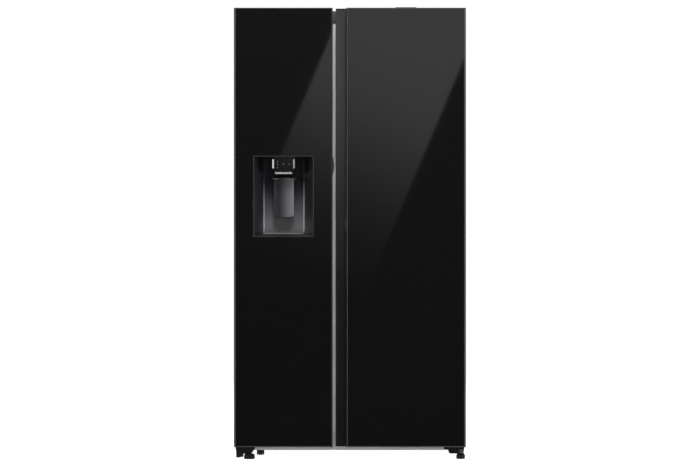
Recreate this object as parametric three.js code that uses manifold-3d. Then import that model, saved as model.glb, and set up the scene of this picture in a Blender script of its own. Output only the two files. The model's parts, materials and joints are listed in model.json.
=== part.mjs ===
// A free-standing side by side refrigerator with a water and ice dispenser, in millimetres.
// +Z is up, the doors face -Y, and the origin is on the floor under the middle of the whole box.
// Both doors are shut.

import * as THREE from "three";
import { mergeVertices } from "three/addons/utils/BufferGeometryUtils.js";
import Module from "manifold-3d";

const wasm = await Module();
wasm.setup();

// ------------------------------------------------------------------ driving dimensions

const WIDTH = 912; // across the shut doors
const DEPTH = 716; // door glass to the back of the machine cover
const DOOR_HEIGHT = 1726;
const DOOR_BOTTOM = 52; // floor to the doors' lower edge
const DOOR_THICKNESS = 90;

const GAP = 0.3; // between pieces that touch
const STEEL = 1.5; // sheet of the cabinet
const LINER = 2.5; // moulded inner walls
const BIN_WALL = 3;

const CABINET_INSET = 2; // the doors stand proud of the cabinet's sides
const CABINET_BOTTOM = 54;
const CABINET_DROP = 28; // cabinet roof under the doors' upper edge
const GASKET_SPACE = 14; // between door and cabinet
const SIDE_WALL = 55;
const POST_WIDTH = 60; // the middle post between the compartments
const POST_CENTRE = -62;
const ROOF_WALL = 60;
const FLOOR_WALL = 54;
const BACK_WALL = 55;
const SILL_TOP = 106; // upper edge of the bright beam under the compartments
const BEAM_BOTTOM = 33;

const MACHINE_DEPTH = 210; // the compressor's bay, at the bottom of the back
const MACHINE_HEIGHT = 196;
const STEP_WALL = 40; // insulation between the bay and the compartments
const MACHINE_COVER_BULGE = 18;

const DOOR_GAP = 12; // strip of the post seen between the doors
const HANDLE_WIDTH = 41.5; // grip channel on the refrigerator door
const HANDLE_SETBACK = 45;
const HANDLE_SHEET = 2.7;
const GRIP_UNDERCUT = 22; // behind each door's front edge
const GRIP_EDGE = 13; // thickness of that edge
const GLASS = 4;
const TRIM_OUTER = 7; // width of the frame seen round the glass
const TRIM_INNER = 5;
const TRIM_END = 3.5;
const FRAME_WALL = 3;
const GLASS_LEDGE = 6;
const LEDGE_REACH = 7; // behind the glass's edge

const PIN_INSET = 16; // hinge pin from the door's outer side
const PIN_SETBACK = 58; // hinge pin from the glass
const PIN_RADIUS = 5;
const PIN_LENGTH = 28;
const PIN_PLAY = 0.3;
const BOSS_RADIUS = 9;
const HINGE_PLATE = 6;
const POCKET_DROP = 30; // ledge in the door's top for the upper hinge
const POCKET_REACH = 118; // from the pin towards the middle
const LIP = 24; // front of the door left standing over the ledge

const GASKET_WIDTH = 22;
const GASKET_INSET = 18; // from the door's outer side
const GASKET_BOTTOM = 12; // from the door's lower edge
const GASKET_TOP = 58; // from the door's upper edge

const RIDGE_WIDTH = 30; // ridges of the door's inner liner, which carry the bins
const RIDGE_HEIGHT = 68;
const RIDGE_INSET = 61; // from the door's outer side
const RIDGE_FREE = 42; // from the freezer door's free edge
const RIDGE_FREE_WIDE = 51; // from the refrigerator door's free edge
const RIDGE_CLEAR = 12; // over the compartment floor and under its ceiling
const BIN_SIDE_GAP = 0.4;
const BIN_DEPTH_LOW = 86; // bins in front of the drawers
const BIN_DEPTH = 106;
const BIN_HEIGHT = 115;

const DISPENSER_WIDTH = 238;
const DISPENSER_HEIGHT = 319.7;
const DISPENSER_DROP = 581; // from the door's upper edge
const DISPENSER_RIM = 4;
const RECESS_DEPTH = 84;
const RECESS_TAPER = 35; // each side, front to back
const RECESS_FLOOR_RISE = 12;
const BULGE_DEPTH = 28; // liner behind the dispenser
const BULGE_MARGIN = 8;
const PANEL_WIDTH = 89;
const PANEL_HEIGHT = 56;
const PANEL_SETBACK = 3;
const PANEL_DEPTH = 69;
const CHUTE_WIDTH = 50;
const CHUTE_DEPTH = 40;
const CHUTE_SETBACK = 18;
const FLAP_WIDTH = 60;
const FLAP_LENGTH = 48;
const LEVER_WIDTH = 80;
const LEVER_HEIGHT = 155;
const LEVER_THICKNESS = 10;
const LEVER_SETBACK = 46;
const LEVER_DROP = 82; // from the recess ceiling
const BUCKET_HEIGHT = 300;

const DRAWER_SIDE_GAP = 10;
const DRAWER_SETBACK = 109; // drawer fronts behind the cabinet's front
const DRAWER_LOW_HEIGHT = 173;
const DRAWER_HIGH_TOP = 362; // over the compartment floor
const SHELF_SETBACK = 114;
const SHELF_SIDE_GAP = 3;
const SHELF_TRIM = 14;
const SHELF_PANE = 5;
const SHELF_UNDER = 5; // pane over the shelf's lower edge
const RIB = 10; // shelf ribs on the side walls
const COOLER_SPACE = 56; // evaporator room behind the freezer's back cover
const DUCT_DEPTH = 24;
const ICE_MAKER_HEIGHT = 140;
const TUBE_BEND = 10; // coil tubes past the last fin
const FAN_TILT = Math.PI / 6;
const FAN_CLEAR = 56; // bay height less the condenser fan's diameter
const COVER_DEPTH = 144; // roof cover behind the cabinet's front
const COVER_SHEET = 2.2;
const STRIP_RISE = 32; // post strip above the compartments' ceiling
const INLET_POCKET = 14; // depth of the pocket that holds an inlet

const ROLLER_RADIUS = 24;
const ROLLER_WIDTH = 24;
const ROLLER_INSET = 49; // from the cabinet's side
const ROLLER_FROM_BACK = 85;
const FRONT_ROLLER_RADIUS = 13;
const FRONT_ROLLER_WIDTH = 15;
const FRONT_ROLLER_INSET = 99.5;
const FOOT_RADIUS_LEFT = 21.5;
const FOOT_RADIUS_RIGHT = 17.5;
const FOOT_HEIGHT = 21;
const STEM_RADIUS = 5;
const BOSS_BOTTOM = FOOT_HEIGHT + 1; // of the boss round a foot's stem

// ------------------------------------------------------------------ places worked out from them

const doorHalf = WIDTH / 2;
const front = -DEPTH / 2;
const back = DEPTH / 2;
const doorBack = front + DOOR_THICKNESS;
const doorTop = DOOR_BOTTOM + DOOR_HEIGHT;
const cabinetFront = doorBack + GASKET_SPACE;
const cabinetBack = back - MACHINE_COVER_BULGE;
const cabinetHalf = doorHalf - CABINET_INSET;
const cabinetTop = doorTop - CABINET_DROP;

const roomHalf = cabinetHalf - SIDE_WALL;
const freezerX = [-roomHalf, POST_CENTRE - POST_WIDTH / 2];
const fridgeX = [POST_CENTRE + POST_WIDTH / 2, roomHalf];
const roomBack = cabinetBack - BACK_WALL;
const floorZ = CABINET_BOTTOM + FLOOR_WALL;
const ceilingZ = cabinetTop - ROOF_WALL;
const machineY = cabinetBack - MACHINE_DEPTH;
const machineTop = CABINET_BOTTOM + MACHINE_HEIGHT;
const stepY = machineY - STEP_WALL;
const stepZ = machineTop + STEP_WALL;
const sheetBack = cabinetFront + STEEL; // behind the steel lips

const freezerDoorX = [-doorHalf, POST_CENTRE - DOOR_GAP / 2];
const fridgeDoorX = [POST_CENTRE + DOOR_GAP / 2, doorHalf];
const fridgeGlassEdge = fridgeDoorX[0] + HANDLE_WIDTH;
const pinX = doorHalf - PIN_INSET;
const pinY = front + PIN_SETBACK;
const frameBack = doorBack - LINER - GAP;
const handleY = front + HANDLE_SETBACK;
const pocketFloor = doorTop - POCKET_DROP;
const lipBack = front + LIP;
const hingePlateBottom = cabinetTop + GAP;

const dispenserX = (freezerDoorX[0] + freezerDoorX[1]) / 2 + 1.2;
const dispenserTop = doorTop - DISPENSER_DROP;
const dispenserBottom = dispenserTop - DISPENSER_HEIGHT;
const recessTop = dispenserTop - DISPENSER_RIM;
const recessBack = front + RECESS_DEPTH;
const chuteY = [front + CHUTE_SETBACK, front + CHUTE_SETBACK + CHUTE_DEPTH];
const chuteX = [dispenserX - CHUTE_WIDTH / 2, dispenserX + CHUTE_WIDTH / 2];
const bulgeZ = [dispenserBottom - BULGE_MARGIN, dispenserTop + 40];
const bucketBottom = bulgeZ[1] + 4;
const chuteMouthZ = [bucketBottom + 6, bucketBottom + 46];

const coolerFront = roomBack - COOLER_SPACE; // back face of the freezer's rear cover
const freezerBack = coolerFront - 3 - GAP;
const ductedBack = roomBack - DUCT_DEPTH - GAP;
const drawerFront = cabinetFront + DRAWER_SETBACK;
const drawerTop = floorZ + DRAWER_HIGH_TOP;
const coverShelfZ = drawerTop + 10;
const iceMakerBottom = ceilingZ - ICE_MAKER_HEIGHT;
const fridgeShelfZ = [1, 2, 3].map((i) => coverShelfZ + (i * (ceilingZ - coverShelfZ)) / 4);
const freezerShelfZ = [1, 2].map((i) => coverShelfZ + (i * (iceMakerBottom - coverShelfZ)) / 3);

// ------------------------------------------------------------------ making solids

// A closed geometry as a solid that can be joined and cut.
function solid(geometry) {
  const bare = geometry.index ? geometry.toNonIndexed() : geometry.clone();
  bare.deleteAttribute("normal");
  bare.deleteAttribute("uv");
  const merged = mergeVertices(bare, 1e-4);
  const vertProperties = new Float32Array(merged.attributes.position.array);
  const triVerts = new Uint32Array(merged.index.array);
  return new wasm.Manifold(new wasm.Mesh({ numProp: 3, vertProperties, triVerts }));
}

function block([x0, x1], [y0, y1], [z0, z1]) {
  const geometry = new THREE.BoxGeometry(x1 - x0, y1 - y0, z1 - z0);
  geometry.translate((x0 + x1) / 2, (y0 + y1) / 2, (z0 + z1) / 2);
  return solid(geometry);
}

const X = new THREE.Vector3(1, 0, 0);
const Y = new THREE.Vector3(0, 1, 0);
const Z = new THREE.Vector3(0, 0, 1);

// An outline pushed along an axis. Its points are (y, z) along x, (x, z) along y and (x, y) along z.
function prism(axis, points, [from, to]) {
  const shape = new THREE.Shape(points.map(([a, b]) => new THREE.Vector2(a, b)));
  const geometry = new THREE.ExtrudeGeometry(shape, { depth: to - from, bevelEnabled: false });
  const turn = new THREE.Matrix4();
  if (axis === "x") turn.makeBasis(Y, Z, X).setPosition(from, 0, 0);
  if (axis === "y") turn.makeBasis(X, Z, Y.clone().negate()).setPosition(0, to, 0);
  if (axis === "z") turn.makeBasis(X, Y, Z).setPosition(0, 0, from);
  return solid(geometry.applyMatrix4(turn));
}

// A profile of (radius, place along the axis) points, turned about an axis through a point.
function turned(axis, [x, y, z], profile, sides = 32) {
  const points = profile.map(([radius, along]) => new THREE.Vector2(radius, along));
  const geometry = new THREE.LatheGeometry(points, sides);
  const turn = new THREE.Matrix4();
  if (axis === "x") turn.makeBasis(Y, X, Z.clone().negate());
  if (axis === "z") turn.makeBasis(X, Z, Y.clone().negate());
  return solid(geometry.applyMatrix4(turn.setPosition(x, y, z)));
}

function rod(axis, centre, radius, [from, to], sides = 32) {
  return turned(axis, centre, [[0, from], [radius, from], [radius, to], [0, to]], sides);
}

// A box whose front and back rectangles differ: each is [x0, x1, z0, z1], at its own y.
function taper(y0, [a0, a1, b0, b1], y1, [c0, c1, d0, d1]) {
  const corners = [a0, y0, b0, a1, y0, b0, a1, y0, b1, a0, y0, b1];
  corners.push(c0, y1, d0, c1, y1, d0, c1, y1, d1, c0, y1, d1);
  const faces = [0, 1, 2, 0, 2, 3, 5, 4, 7, 5, 7, 6, 4, 5, 1, 4, 1, 0];
  faces.push(3, 2, 6, 3, 6, 7, 4, 0, 3, 4, 3, 7, 1, 5, 6, 1, 6, 2);
  const geometry = new THREE.BufferGeometry();
  geometry.setAttribute("position", new THREE.Float32BufferAttribute(corners, 3));
  geometry.setIndex(faces);
  return solid(geometry);
}

function join(...pieces) {
  return pieces.reduce((all, piece) => all.add(piece));
}

function cut(piece, ...tools) {
  return tools.reduce((rest, tool) => rest.subtract(tool), piece);
}

// The same span on the other side of the middle.
function mirrored([from, to]) {
  return [-to, -from];
}

function grown([from, to], by) {
  return [from - by, to + by];
}

function surface(color, roughness, metalness) {
  return new THREE.MeshStandardMaterial({ color, roughness, metalness });
}

const FINISH = {
  blackGlass: () => surface(0x121212, 0.04, 0),
  frame: () => surface(0x6b6b6b, 0.35, 0.6),
  darkPlastic: () => surface(0x2b2b2e, 0.45, 0),
  cabinet: () => surface(0x2a2a2c, 0.4, 0.4),
  bright: () => surface(0x959595, 0.35, 0.9),
  liner: () => surface(0xf1f2f2, 0.4, 0),
  gasket: () => surface(0x5a5a5c, 0.8, 0),
  foam: () => surface(0xe6dcb4, 0.95, 0),
  clear: () => surface(0xdfe8ea, 0.1, 0),
  galvanised: () => surface(0x9a9c9d, 0.5, 0.9),
  blackSteel: () => surface(0x1c1c1e, 0.5, 0.5),
  rubber: () => surface(0x1a1a1a, 0.85, 0),
  aluminium: () => surface(0xb4b7ba, 0.4, 0.9),
};

// Adds a solid to a group as one named mesh, with its own origin at the middle of its box.
function part(group, name, shape, material) {
  const mesh = shape.getMesh();
  const geometry = new THREE.BufferGeometry();
  geometry.setAttribute("position", new THREE.BufferAttribute(mesh.vertProperties, 3));
  geometry.setIndex(new THREE.BufferAttribute(mesh.triVerts, 1));
  geometry.computeBoundingBox();
  const centre = geometry.boundingBox.getCenter(new THREE.Vector3());
  geometry.translate(-centre.x, -centre.y, -centre.z);
  const facets = geometry.toNonIndexed();
  facets.computeVertexNormals();
  const node = new THREE.Mesh(facets, material);
  node.name = name;
  node.position.copy(centre).sub(group.position);
  group.add(node);
}

function groupAt(parent, x, y, z) {
  const group = new THREE.Group();
  group.position.set(x, y, z);
  parent.add(group);
  return group;
}

// ------------------------------------------------------------------ cabinet

function cabinetBox(inset, yRange) {
  const x = [-cabinetHalf + inset, cabinetHalf - inset];
  return block(x, yRange, [CABINET_BOTTOM + inset, cabinetTop - inset]);
}

// The inside of the outer shell, pulled in by `inset`, with the compressor's bay left out.
function cabinetVolume(inset, yRange) {
  const bay = block([-doorHalf, doorHalf], [machineY - inset, back + 1], [0, machineTop + inset]);
  return cut(cabinetBox(inset, yRange), bay);
}

function cabinetWrapper() {
  const outside = cabinetBox(0, [cabinetFront, cabinetBack]);
  const bay = block(
    [-cabinetHalf + STEEL, cabinetHalf - STEEL],
    [machineY, back],
    [0, machineTop],
  );
  const inside = cabinetVolume(STEEL, [sheetBack, cabinetBack + 1]);
  const mouth = block([-roomHalf, roomHalf], [cabinetFront - 1, sheetBack + 1], [SILL_TOP, ceilingZ]);
  const sill = block(
    [-cabinetHalf + STEEL, cabinetHalf - STEEL],
    [cabinetFront - 1, sheetBack + GAP],
    [CABINET_BOTTOM + STEEL, SILL_TOP + GAP],
  );
  const sillEdge = block(
    [-cabinetHalf - 1, cabinetHalf + 1],
    [cabinetFront - 1, sheetBack + GAP],
    [0, CABINET_BOTTOM + STEEL],
  );
  const post = block(
    grown([freezerX[1], fridgeX[0]], GAP),
    [cabinetFront - 1, sheetBack + 1],
    [SILL_TOP, ceilingZ + STRIP_RISE + GAP],
  );
  return cut(outside, inside, bay, mouth, sill, sillEdge, post);
}

// A compartment's space with its step over the compressor's bay, grown by `wall`.
function roomVolume(xRange, wall, yFront) {
  const room = block(grown(xRange, wall), [yFront, roomBack + wall], [floorZ - wall, ceilingZ + wall]);
  const step = block(grown(xRange, wall + 1), [stepY + wall, back], [0, stepZ - wall]);
  return cut(room, step);
}

// A compartment's liner, with a rib on each side wall under every shelf.
function liner(xRange, shelfBack, shelfHeights) {
  const shell = cut(roomVolume(xRange, LINER, sheetBack + GAP), roomVolume(xRange, 0, cabinetFront));
  const y = [cabinetFront + SHELF_SETBACK + 14, shelfBack - 12];
  const ribs = shelfHeights.flatMap((height) => {
    const z = [height - 3, height + SHELF_UNDER - GAP];
    const [x0, x1] = xRange;
    return [block([x0 - 1, x0 + RIB], y, z), block([x1 - RIB, x1 + 1], y, z)];
  });
  return join(shell, ...ribs);
}

function cabinetFoam() {
  const body = cabinetVolume(STEEL + GAP, [sheetBack + GAP, cabinetBack - STEEL - 3 * GAP]);
  const rooms = [freezerX, fridgeX].map((range) => roomVolume(range, LINER + GAP, cabinetFront));
  return cut(body, ...rooms);
}

function rearPanel() {
  const panelBack = cabinetBack - GAP;
  return block(
    [-cabinetHalf + STEEL + GAP, cabinetHalf - STEEL - GAP],
    [panelBack - STEEL, panelBack],
    [machineTop + STEEL + GAP, cabinetTop - STEEL - GAP],
  );
}

function postStrip() {
  return block(
    [freezerX[1], fridgeX[0]],
    [cabinetFront, sheetBack],
    [SILL_TOP + GAP, ceilingZ + STRIP_RISE],
  );
}

const frontRollerX = -cabinetHalf + FRONT_ROLLER_INSET;
const frontRollerY = cabinetFront + 20;
const frontRollerZ = 25;
const frontAxleRadius = 3;
const frontEarSheet = 2.2;

// Two ears that carry a roller's axle, under a plate at height `top`.
function axleEars([x, y, z], width, reach, top, sheet, bore) {
  const inner = width / 2 + GAP;
  const ears = [-1, 1].map((side) => {
    const range = [x + side * inner, x + side * (inner + sheet)].sort((a, b) => a - b);
    return block(range, [y - reach, y + reach], [z - reach, top]);
  });
  const hole = rod("x", [x, y, z], bore, [-width, width], 16);
  return cut(join(...ears), hole);
}

function bottomBeam() {
  const width = [-cabinetHalf + 2, cabinetHalf - 2];
  const face = block(width, [cabinetFront, sheetBack], [BEAM_BOTTOM, SILL_TOP]);
  const sole = block(width, [cabinetFront, cabinetFront + 45], [BEAM_BOTTOM, BEAM_BOTTOM + STEEL]);
  const window = block(
    grown([frontRollerX, frontRollerX], FRONT_ROLLER_WIDTH / 2 + GAP),
    grown([frontRollerY, frontRollerY], FRONT_ROLLER_RADIUS + 2),
    [0, BEAM_BOTTOM + 10],
  );
  const centre = [frontRollerX, frontRollerY, frontRollerZ];
  const bore = frontAxleRadius + GAP;
  const ears = axleEars(centre, FRONT_ROLLER_WIDTH, 9, BEAM_BOTTOM + 1, frontEarSheet, bore);
  return cut(join(face, sole, ears), window);
}

// The dark cover over the hinges and wiring at the front of the roof.
const coverTop = doorTop - 6;
const coverBack = cabinetFront + COVER_DEPTH;
const capReach = POCKET_REACH - 8; // from the pin towards the middle

function topCover() {
  const half = cabinetHalf - 2;
  const apronFront = cabinetFront - GAP - COVER_SHEET;
  const capX = [pinX - capReach, half];
  const capFront = lipBack + 4;
  const capBottom = cabinetTop + HINGE_PLATE + 2;
  const roof = block([-half, half], [apronFront, coverBack], [cabinetTop + GAP, coverTop]);
  const apron = block(
    [-capX[0] - 8, capX[0] + 8],
    [apronFront, apronFront + COVER_SHEET],
    [ceilingZ + STRIP_RISE + GAP, cabinetTop + 1],
  );
  const hollow = block(
    grown([-half, half], -COVER_SHEET),
    [cabinetFront - GAP, coverBack - COVER_SHEET],
    [0, coverTop - COVER_SHEET],
  );
  const caps = [capX, mirrored(capX)].map((range) =>
    block(range, [capFront, apronFront + 1], [capBottom, coverTop]),
  );
  const capHollows = [capX, mirrored(capX)].map((range) =>
    block(
      grown(range, -COVER_SHEET),
      [capFront + COVER_SHEET, cabinetFront + 4],
      [0, coverTop - COVER_SHEET],
    ),
  );
  return join(cut(join(roof, ...caps), hollow, ...capHollows), apron);
}

function controlBoxCover() {
  const [x0, x1] = [cabinetHalf - 278, cabinetHalf - 185];
  const slope = 5;
  const base = coverTop + GAP;
  const top = doorTop + 12;
  const outline = [[x0, base], [x1, base], [x1 - slope, top], [x0 + slope, top]];
  return prism("y", outline, [cabinetFront + 24, cabinetFront + 104]);
}

// The upper hinge: a plate on the roof, an arm over the door's ledge, and a pin down into the door.
function upperHinge(side) {
  const outer = cabinetHalf - 2 - COVER_SHEET - 3;
  const outline = [
    [outer, cabinetFront + 104],
    [outer - 88, cabinetFront + 104],
    [outer - 88, cabinetFront + 30],
    [pinX - 14, cabinetFront - 6],
    [pinX - 14, pinY - 8],
    [pinX - 6, pinY - 14],
    [outer, pinY - 12],
  ].map(([x, y]) => [side * x, y]);
  if (side < 0) outline.reverse();
  const plate = prism("z", outline, [hingePlateBottom, hingePlateBottom + HINGE_PLATE]);
  const pinZ = [pocketFloor - PIN_LENGTH, hingePlateBottom + 1];
  const pin = rod("z", [side * pinX, pinY, 0], PIN_RADIUS, pinZ);
  return join(plate, pin);
}

const lowerPlateTop = DOOR_BOTTOM - 3;
const lowerPlateBottom = lowerPlateTop - HINGE_PLATE;
const footLeftX = -doorHalf + 59;
const footRightX = doorHalf - 18;
const footLeftY = pinY + 17;
const footRightY = pinY + 26;

// A lower hinge: a flange screwed to the beam, a plate under the door, a boss round the foot's stem,
// and a pin up into the door. The boss is an outline pushed back from `bossFront`.
function lowerHinge(x, flange, boss, bossFront, footX, footY) {
  const flangeY = [cabinetFront - GAP - 3, cabinetFront - GAP];
  const plate = block(x, [pinY - 18, flangeY[1]], [lowerPlateBottom, lowerPlateTop]);
  const face = prism("y", flange, flangeY);
  const housing = prism("y", boss, [bossFront, flangeY[1]]);
  const pin = rod(
    "z",
    [Math.sign(footX) * pinX, pinY, 0],
    PIN_RADIUS,
    [lowerPlateTop - 1, DOOR_BOTTOM + PIN_LENGTH - 2],
  );
  const stemHole = rod("z", [footX, footY, 0], STEM_RADIUS + GAP, [0, lowerPlateTop + 1], 24);
  return cut(join(plate, face, housing, pin), stemHole);
}

function lowerHingeLeft() {
  const outer = -cabinetHalf + 2;
  const flange = [
    [outer, 48],
    [outer, 30],
    [outer + 20, 24],
    [outer + 66, 24],
    [outer + 74, 36],
    [outer + 74, 48],
  ];
  const boss = [
    [outer + 19, lowerPlateBottom + 1],
    [outer + 19, BOSS_BOTTOM],
    [outer + 62, BOSS_BOTTOM],
    [outer + 68, BOSS_BOTTOM + 6],
    [outer + 68, lowerPlateBottom + 1],
  ];
  const legX = [outer + 3, outer + 20];
  const leg = block(legX, [pinY, cabinetFront - GAP], [7, lowerPlateBottom + 1]);
  const bore = rod("z", [(legX[0] + legX[1]) / 2, pinY + 15, 0], 4, [0, 34], 16);
  const body = lowerHinge([outer, outer + 76], flange, boss, pinY - 4, footLeftX, footLeftY);
  return cut(join(body, leg), bore);
}

function lowerHingeRight() {
  const outer = cabinetHalf - 2;
  const flange = [
    [outer - 80, 48],
    [outer - 80, 37],
    [outer - 64, 36],
    [outer - 60, 23],
    [outer - 26, 23],
    [outer - 22, 30],
    [outer, 30],
    [outer, 48],
  ];
  const boss = [
    [outer - 64, lowerPlateBottom + 1],
    [outer - 58, BOSS_BOTTOM],
    [outer - 2, BOSS_BOTTOM],
    [outer - 2, lowerPlateBottom + 1],
  ];
  return lowerHinge([outer - 64, outer], flange, boss, pinY + 6, footRightX, footRightY);
}

// A levelling foot: a ribbed cup on the floor and a stem up through the hinge plate.
function levellingFoot(x, y, radius) {
  const profile = [
    [0, 0],
    [radius - 2.5, 0],
    [radius, 3],
    [radius, 13],
    [radius - 3, FOOT_HEIGHT],
    [STEM_RADIUS + 2, FOOT_HEIGHT - 4],
    [STEM_RADIUS, FOOT_HEIGHT - 2],
    [STEM_RADIUS, lowerPlateTop - 2],
    [0, lowerPlateTop - 2],
  ];
  return turned("z", [x, y, 0], profile, 24);
}

function roller(centre, radius, width, axleRadius, earSheet) {
  const axleHalf = width / 2 + GAP + earSheet;
  const wheel = rod("x", centre, radius, [-width / 2, width / 2], 32);
  return join(wheel, rod("x", centre, axleRadius, [-axleHalf, axleHalf], 16));
}

const rollerX = cabinetHalf - ROLLER_INSET;
const rollerY = cabinetBack - ROLLER_FROM_BACK;
const rearEarSheet = 3;
const rearAxleRadius = 4;

function rearRoller(x) {
  const centre = [x, rollerY, ROLLER_RADIUS];
  return roller(centre, ROLLER_RADIUS, ROLLER_WIDTH, rearAxleRadius, rearEarSheet);
}

function frontRoller() {
  const centre = [frontRollerX, frontRollerY, frontRollerZ];
  return roller(centre, FRONT_ROLLER_RADIUS, FRONT_ROLLER_WIDTH, frontAxleRadius, frontEarSheet);
}

// ------------------------------------------------------------------ machine bay

const bayFloor = CABINET_BOTTOM - GAP; // top of the base plate
const bayY = machineY + MACHINE_DEPTH / 2;
const compressorX = -cabinetHalf + 154;
const fanX = compressorX + 188;
const fanRadius = (MACHINE_HEIGHT - FAN_CLEAR) / 2;
const fanZ = bayFloor + fanRadius + 12;

function basePlate() {
  const plate = block(
    [-cabinetHalf + 2, cabinetHalf - 2],
    [machineY + 2, cabinetBack - 2],
    [bayFloor - 2, bayFloor],
  );
  const ears = [-rollerX, rollerX].map((x) =>
    axleEars(
      [x, rollerY, ROLLER_RADIUS],
      ROLLER_WIDTH, 14, bayFloor - 1, rearEarSheet, rearAxleRadius + GAP,
    ),
  );
  const shroud = cut(
    block([fanX - 2, fanX + 2], grown([bayY, bayY], fanRadius + 15), [bayFloor - 1, fanZ + fanRadius + 15]),
    rod("x", [fanX, bayY, fanZ], fanRadius + 4, [-5, 5], 32),
  );
  const motorPost = cut(
    block([fanX - 48, fanX - 24], [bayY - 14, bayY + 14], [bayFloor - 1, fanZ + 14]),
    rod("x", [fanX, bayY, fanZ], 4.3, [-60, 0], 16),
  );
  return join(plate, ...ears, shroud, motorPost);
}

function compressor() {
  const profile = [
    [0, 8],
    [50, 8],
    [66, 22],
    [71, 44],
    [71, 92],
    [62, 124],
    [36, 142],
    [0, 146],
  ].map(([radius, z]) => [radius, z + bayFloor]);
  const shell = turned("z", [compressorX, bayY, 0], profile, 32);
  const feetZ = [bayFloor + 7, bayFloor + 10];
  const feet = block(grown([compressorX, compressorX], 80), grown([bayY, bayY], 60), feetZ);
  const grommets = [[-68, -48], [68, -48], [68, 48], [-68, 48]].map(([dx, dy]) =>
    rod("z", [compressorX + dx, bayY + dy, 0], 10, [bayFloor + GAP, bayFloor + 8], 16),
  );
  return join(shell, feet, ...grommets);
}

// A coil of fins and tubes: a block with slots between its fins, and tube bends at both ends.
function finnedCoil(xRange, yRange, zRange, fins, slotDepth, tubes) {
  const [x0, x1] = xRange;
  const pitch = (x1 - x0) / fins;
  const slots = [];
  for (let i = 1; i < fins; i += 1) {
    const range = [x0 + i * pitch - pitch / 4, x0 + i * pitch + pitch / 4];
    slots.push(block(range, [yRange[0] - 1, yRange[0] + slotDepth], grown(zRange, 1)));
    slots.push(block(range, [yRange[1] - slotDepth, yRange[1] + 1], grown(zRange, 1)));
  }
  const bends = [];
  for (let i = 0; i < tubes; i += 1) {
    const z = zRange[0] + ((i + 0.5) * (zRange[1] - zRange[0])) / tubes;
    const y = (yRange[0] + yRange[1]) / 2;
    bends.push(rod("x", [0, y, z], 4.5, [x0 - TUBE_BEND, x1 + TUBE_BEND], 10));
  }
  return join(cut(block(xRange, yRange, zRange), ...slots), ...bends);
}

function condenser() {
  return finnedCoil(
    [fanX + 60, fanX + 350],
    [bayY - 75, bayY + 75],
    [bayFloor + GAP, machineTop - 38],
    12, 40, 6,
  );
}

// A fan wheel on its shaft: the hub runs `depth` along the axis from the centre, the shaft the other way.
function fanWheel(axis, centre, radius, hub, depth, shaftLength) {
  const blades = 5;
  const place = new THREE.Matrix4();
  if (axis === "x") place.makeBasis(Y, Z, X);
  if (axis === "y") place.makeBasis(Z, X, Y);
  place.setPosition(...centre);
  const wheel = [rod(axis, centre, hub, [0, depth], 24), rod(axis, centre, 4, [-shaftLength, 1], 16)];
  for (let i = 0; i < blades; i += 1) {
    const blade = new THREE.BoxGeometry(radius - hub + 4, hub * 1.9, 2);
    blade.rotateX(FAN_TILT);
    blade.translate((radius + hub - 4) / 2, 0, depth / 2);
    blade.rotateZ((i * 2 * Math.PI) / blades);
    wheel.push(solid(blade.applyMatrix4(place)));
  }
  return join(...wheel);
}

function condenserFan() {
  return fanWheel("x", [fanX - 11, bayY, fanZ], fanRadius - 3, 18, 22, 30);
}

// A pocket in the machine cover with a hollow stub in it, for the power cord or the water line.
function inlet(x, z, radius, bore) {
  const size = 26;
  const y = [back - INLET_POCKET, back + 1];
  const inside = [grown([x, x], size), grown([z, z], size)];
  const tub = block(grown(inside[0], LINER), [y[0] - LINER, back], grown(inside[1], LINER));
  const stub = rod("y", [x, 0, z], radius, [y[0] - 1, back - 1], 20);
  const through = rod("y", [x, 0, z], bore, [y[0] - LINER - 1, back], 16);
  return [tub, block(inside[0], y, inside[1]), stub, through];
}

function machineCover() {
  const half = cabinetHalf - 14;
  const inside = back - LINER;
  const z = [CABINET_BOTTOM + 4, machineTop - 4];
  const flange = block(
    [-cabinetHalf + 2, cabinetHalf - 2],
    [cabinetBack + GAP, cabinetBack + GAP + LINER],
    [CABINET_BOTTOM, machineTop + 12],
  );
  const bulge = block([-half, half], [cabinetBack + GAP, back], z);
  const hollow = block(
    [-half + LINER, half - LINER],
    [cabinetBack - 1, inside],
    grown(z, -LINER),
  );
  const slots = [];
  for (let i = 0; i < 10; i += 1) {
    const x = -half + 60 + (i * (2 * half - 120)) / 9;
    slots.push(block([x - 22, x + 22], [inside - 1, back + 1], [z[0] + 40, z[0] + 52]));
    slots.push(block([x - 22, x + 22], [inside - 1, back + 1], [z[1] - 52, z[1] - 40]));
  }
  const middle = (z[0] + z[1]) / 2;
  const shell = cut(join(flange, bulge), hollow, ...slots);
  const inlets = [inlet(-half + 40, middle, 10, 5), inlet(half - 40, middle, 9, 4)];
  return inlets.reduce(
    (cover, [tub, pocket, stub, through]) => cut(join(cut(join(cover, tub), pocket), stub), through),
    shell,
  );
}

// ------------------------------------------------------------------ freezer's cooling

const coverX = grown(freezerX, -GAP);
const coolerX = (freezerX[0] + freezerX[1]) / 2;
const evaporatorTop = stepZ + 570;
const coolerFanZ = evaporatorTop + 140;
const coolerFanRadius = 58;

function evaporatorCover() {
  const plate = block(coverX, [coolerFront - 3, coolerFront], [stepZ + GAP, ceilingZ - GAP]);
  const boss = rod("y", [coolerX, 0, coolerFanZ], 16, [coolerFront - 1, coolerFront + 9], 24);
  const bore = rod("y", [coolerX, 0, coolerFanZ], 4.3, [coolerFront - 2, coolerFront + 10], 16);
  const slotX = grown([coolerX, coolerX], 80);
  const outlets = [170, 420, 900, 1180].map((up) =>
    block(slotX, [coolerFront - 5, coolerFront + 1], [stepZ + up, stepZ + up + 16]),
  );
  return cut(join(plate, boss), bore, ...outlets);
}

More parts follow.
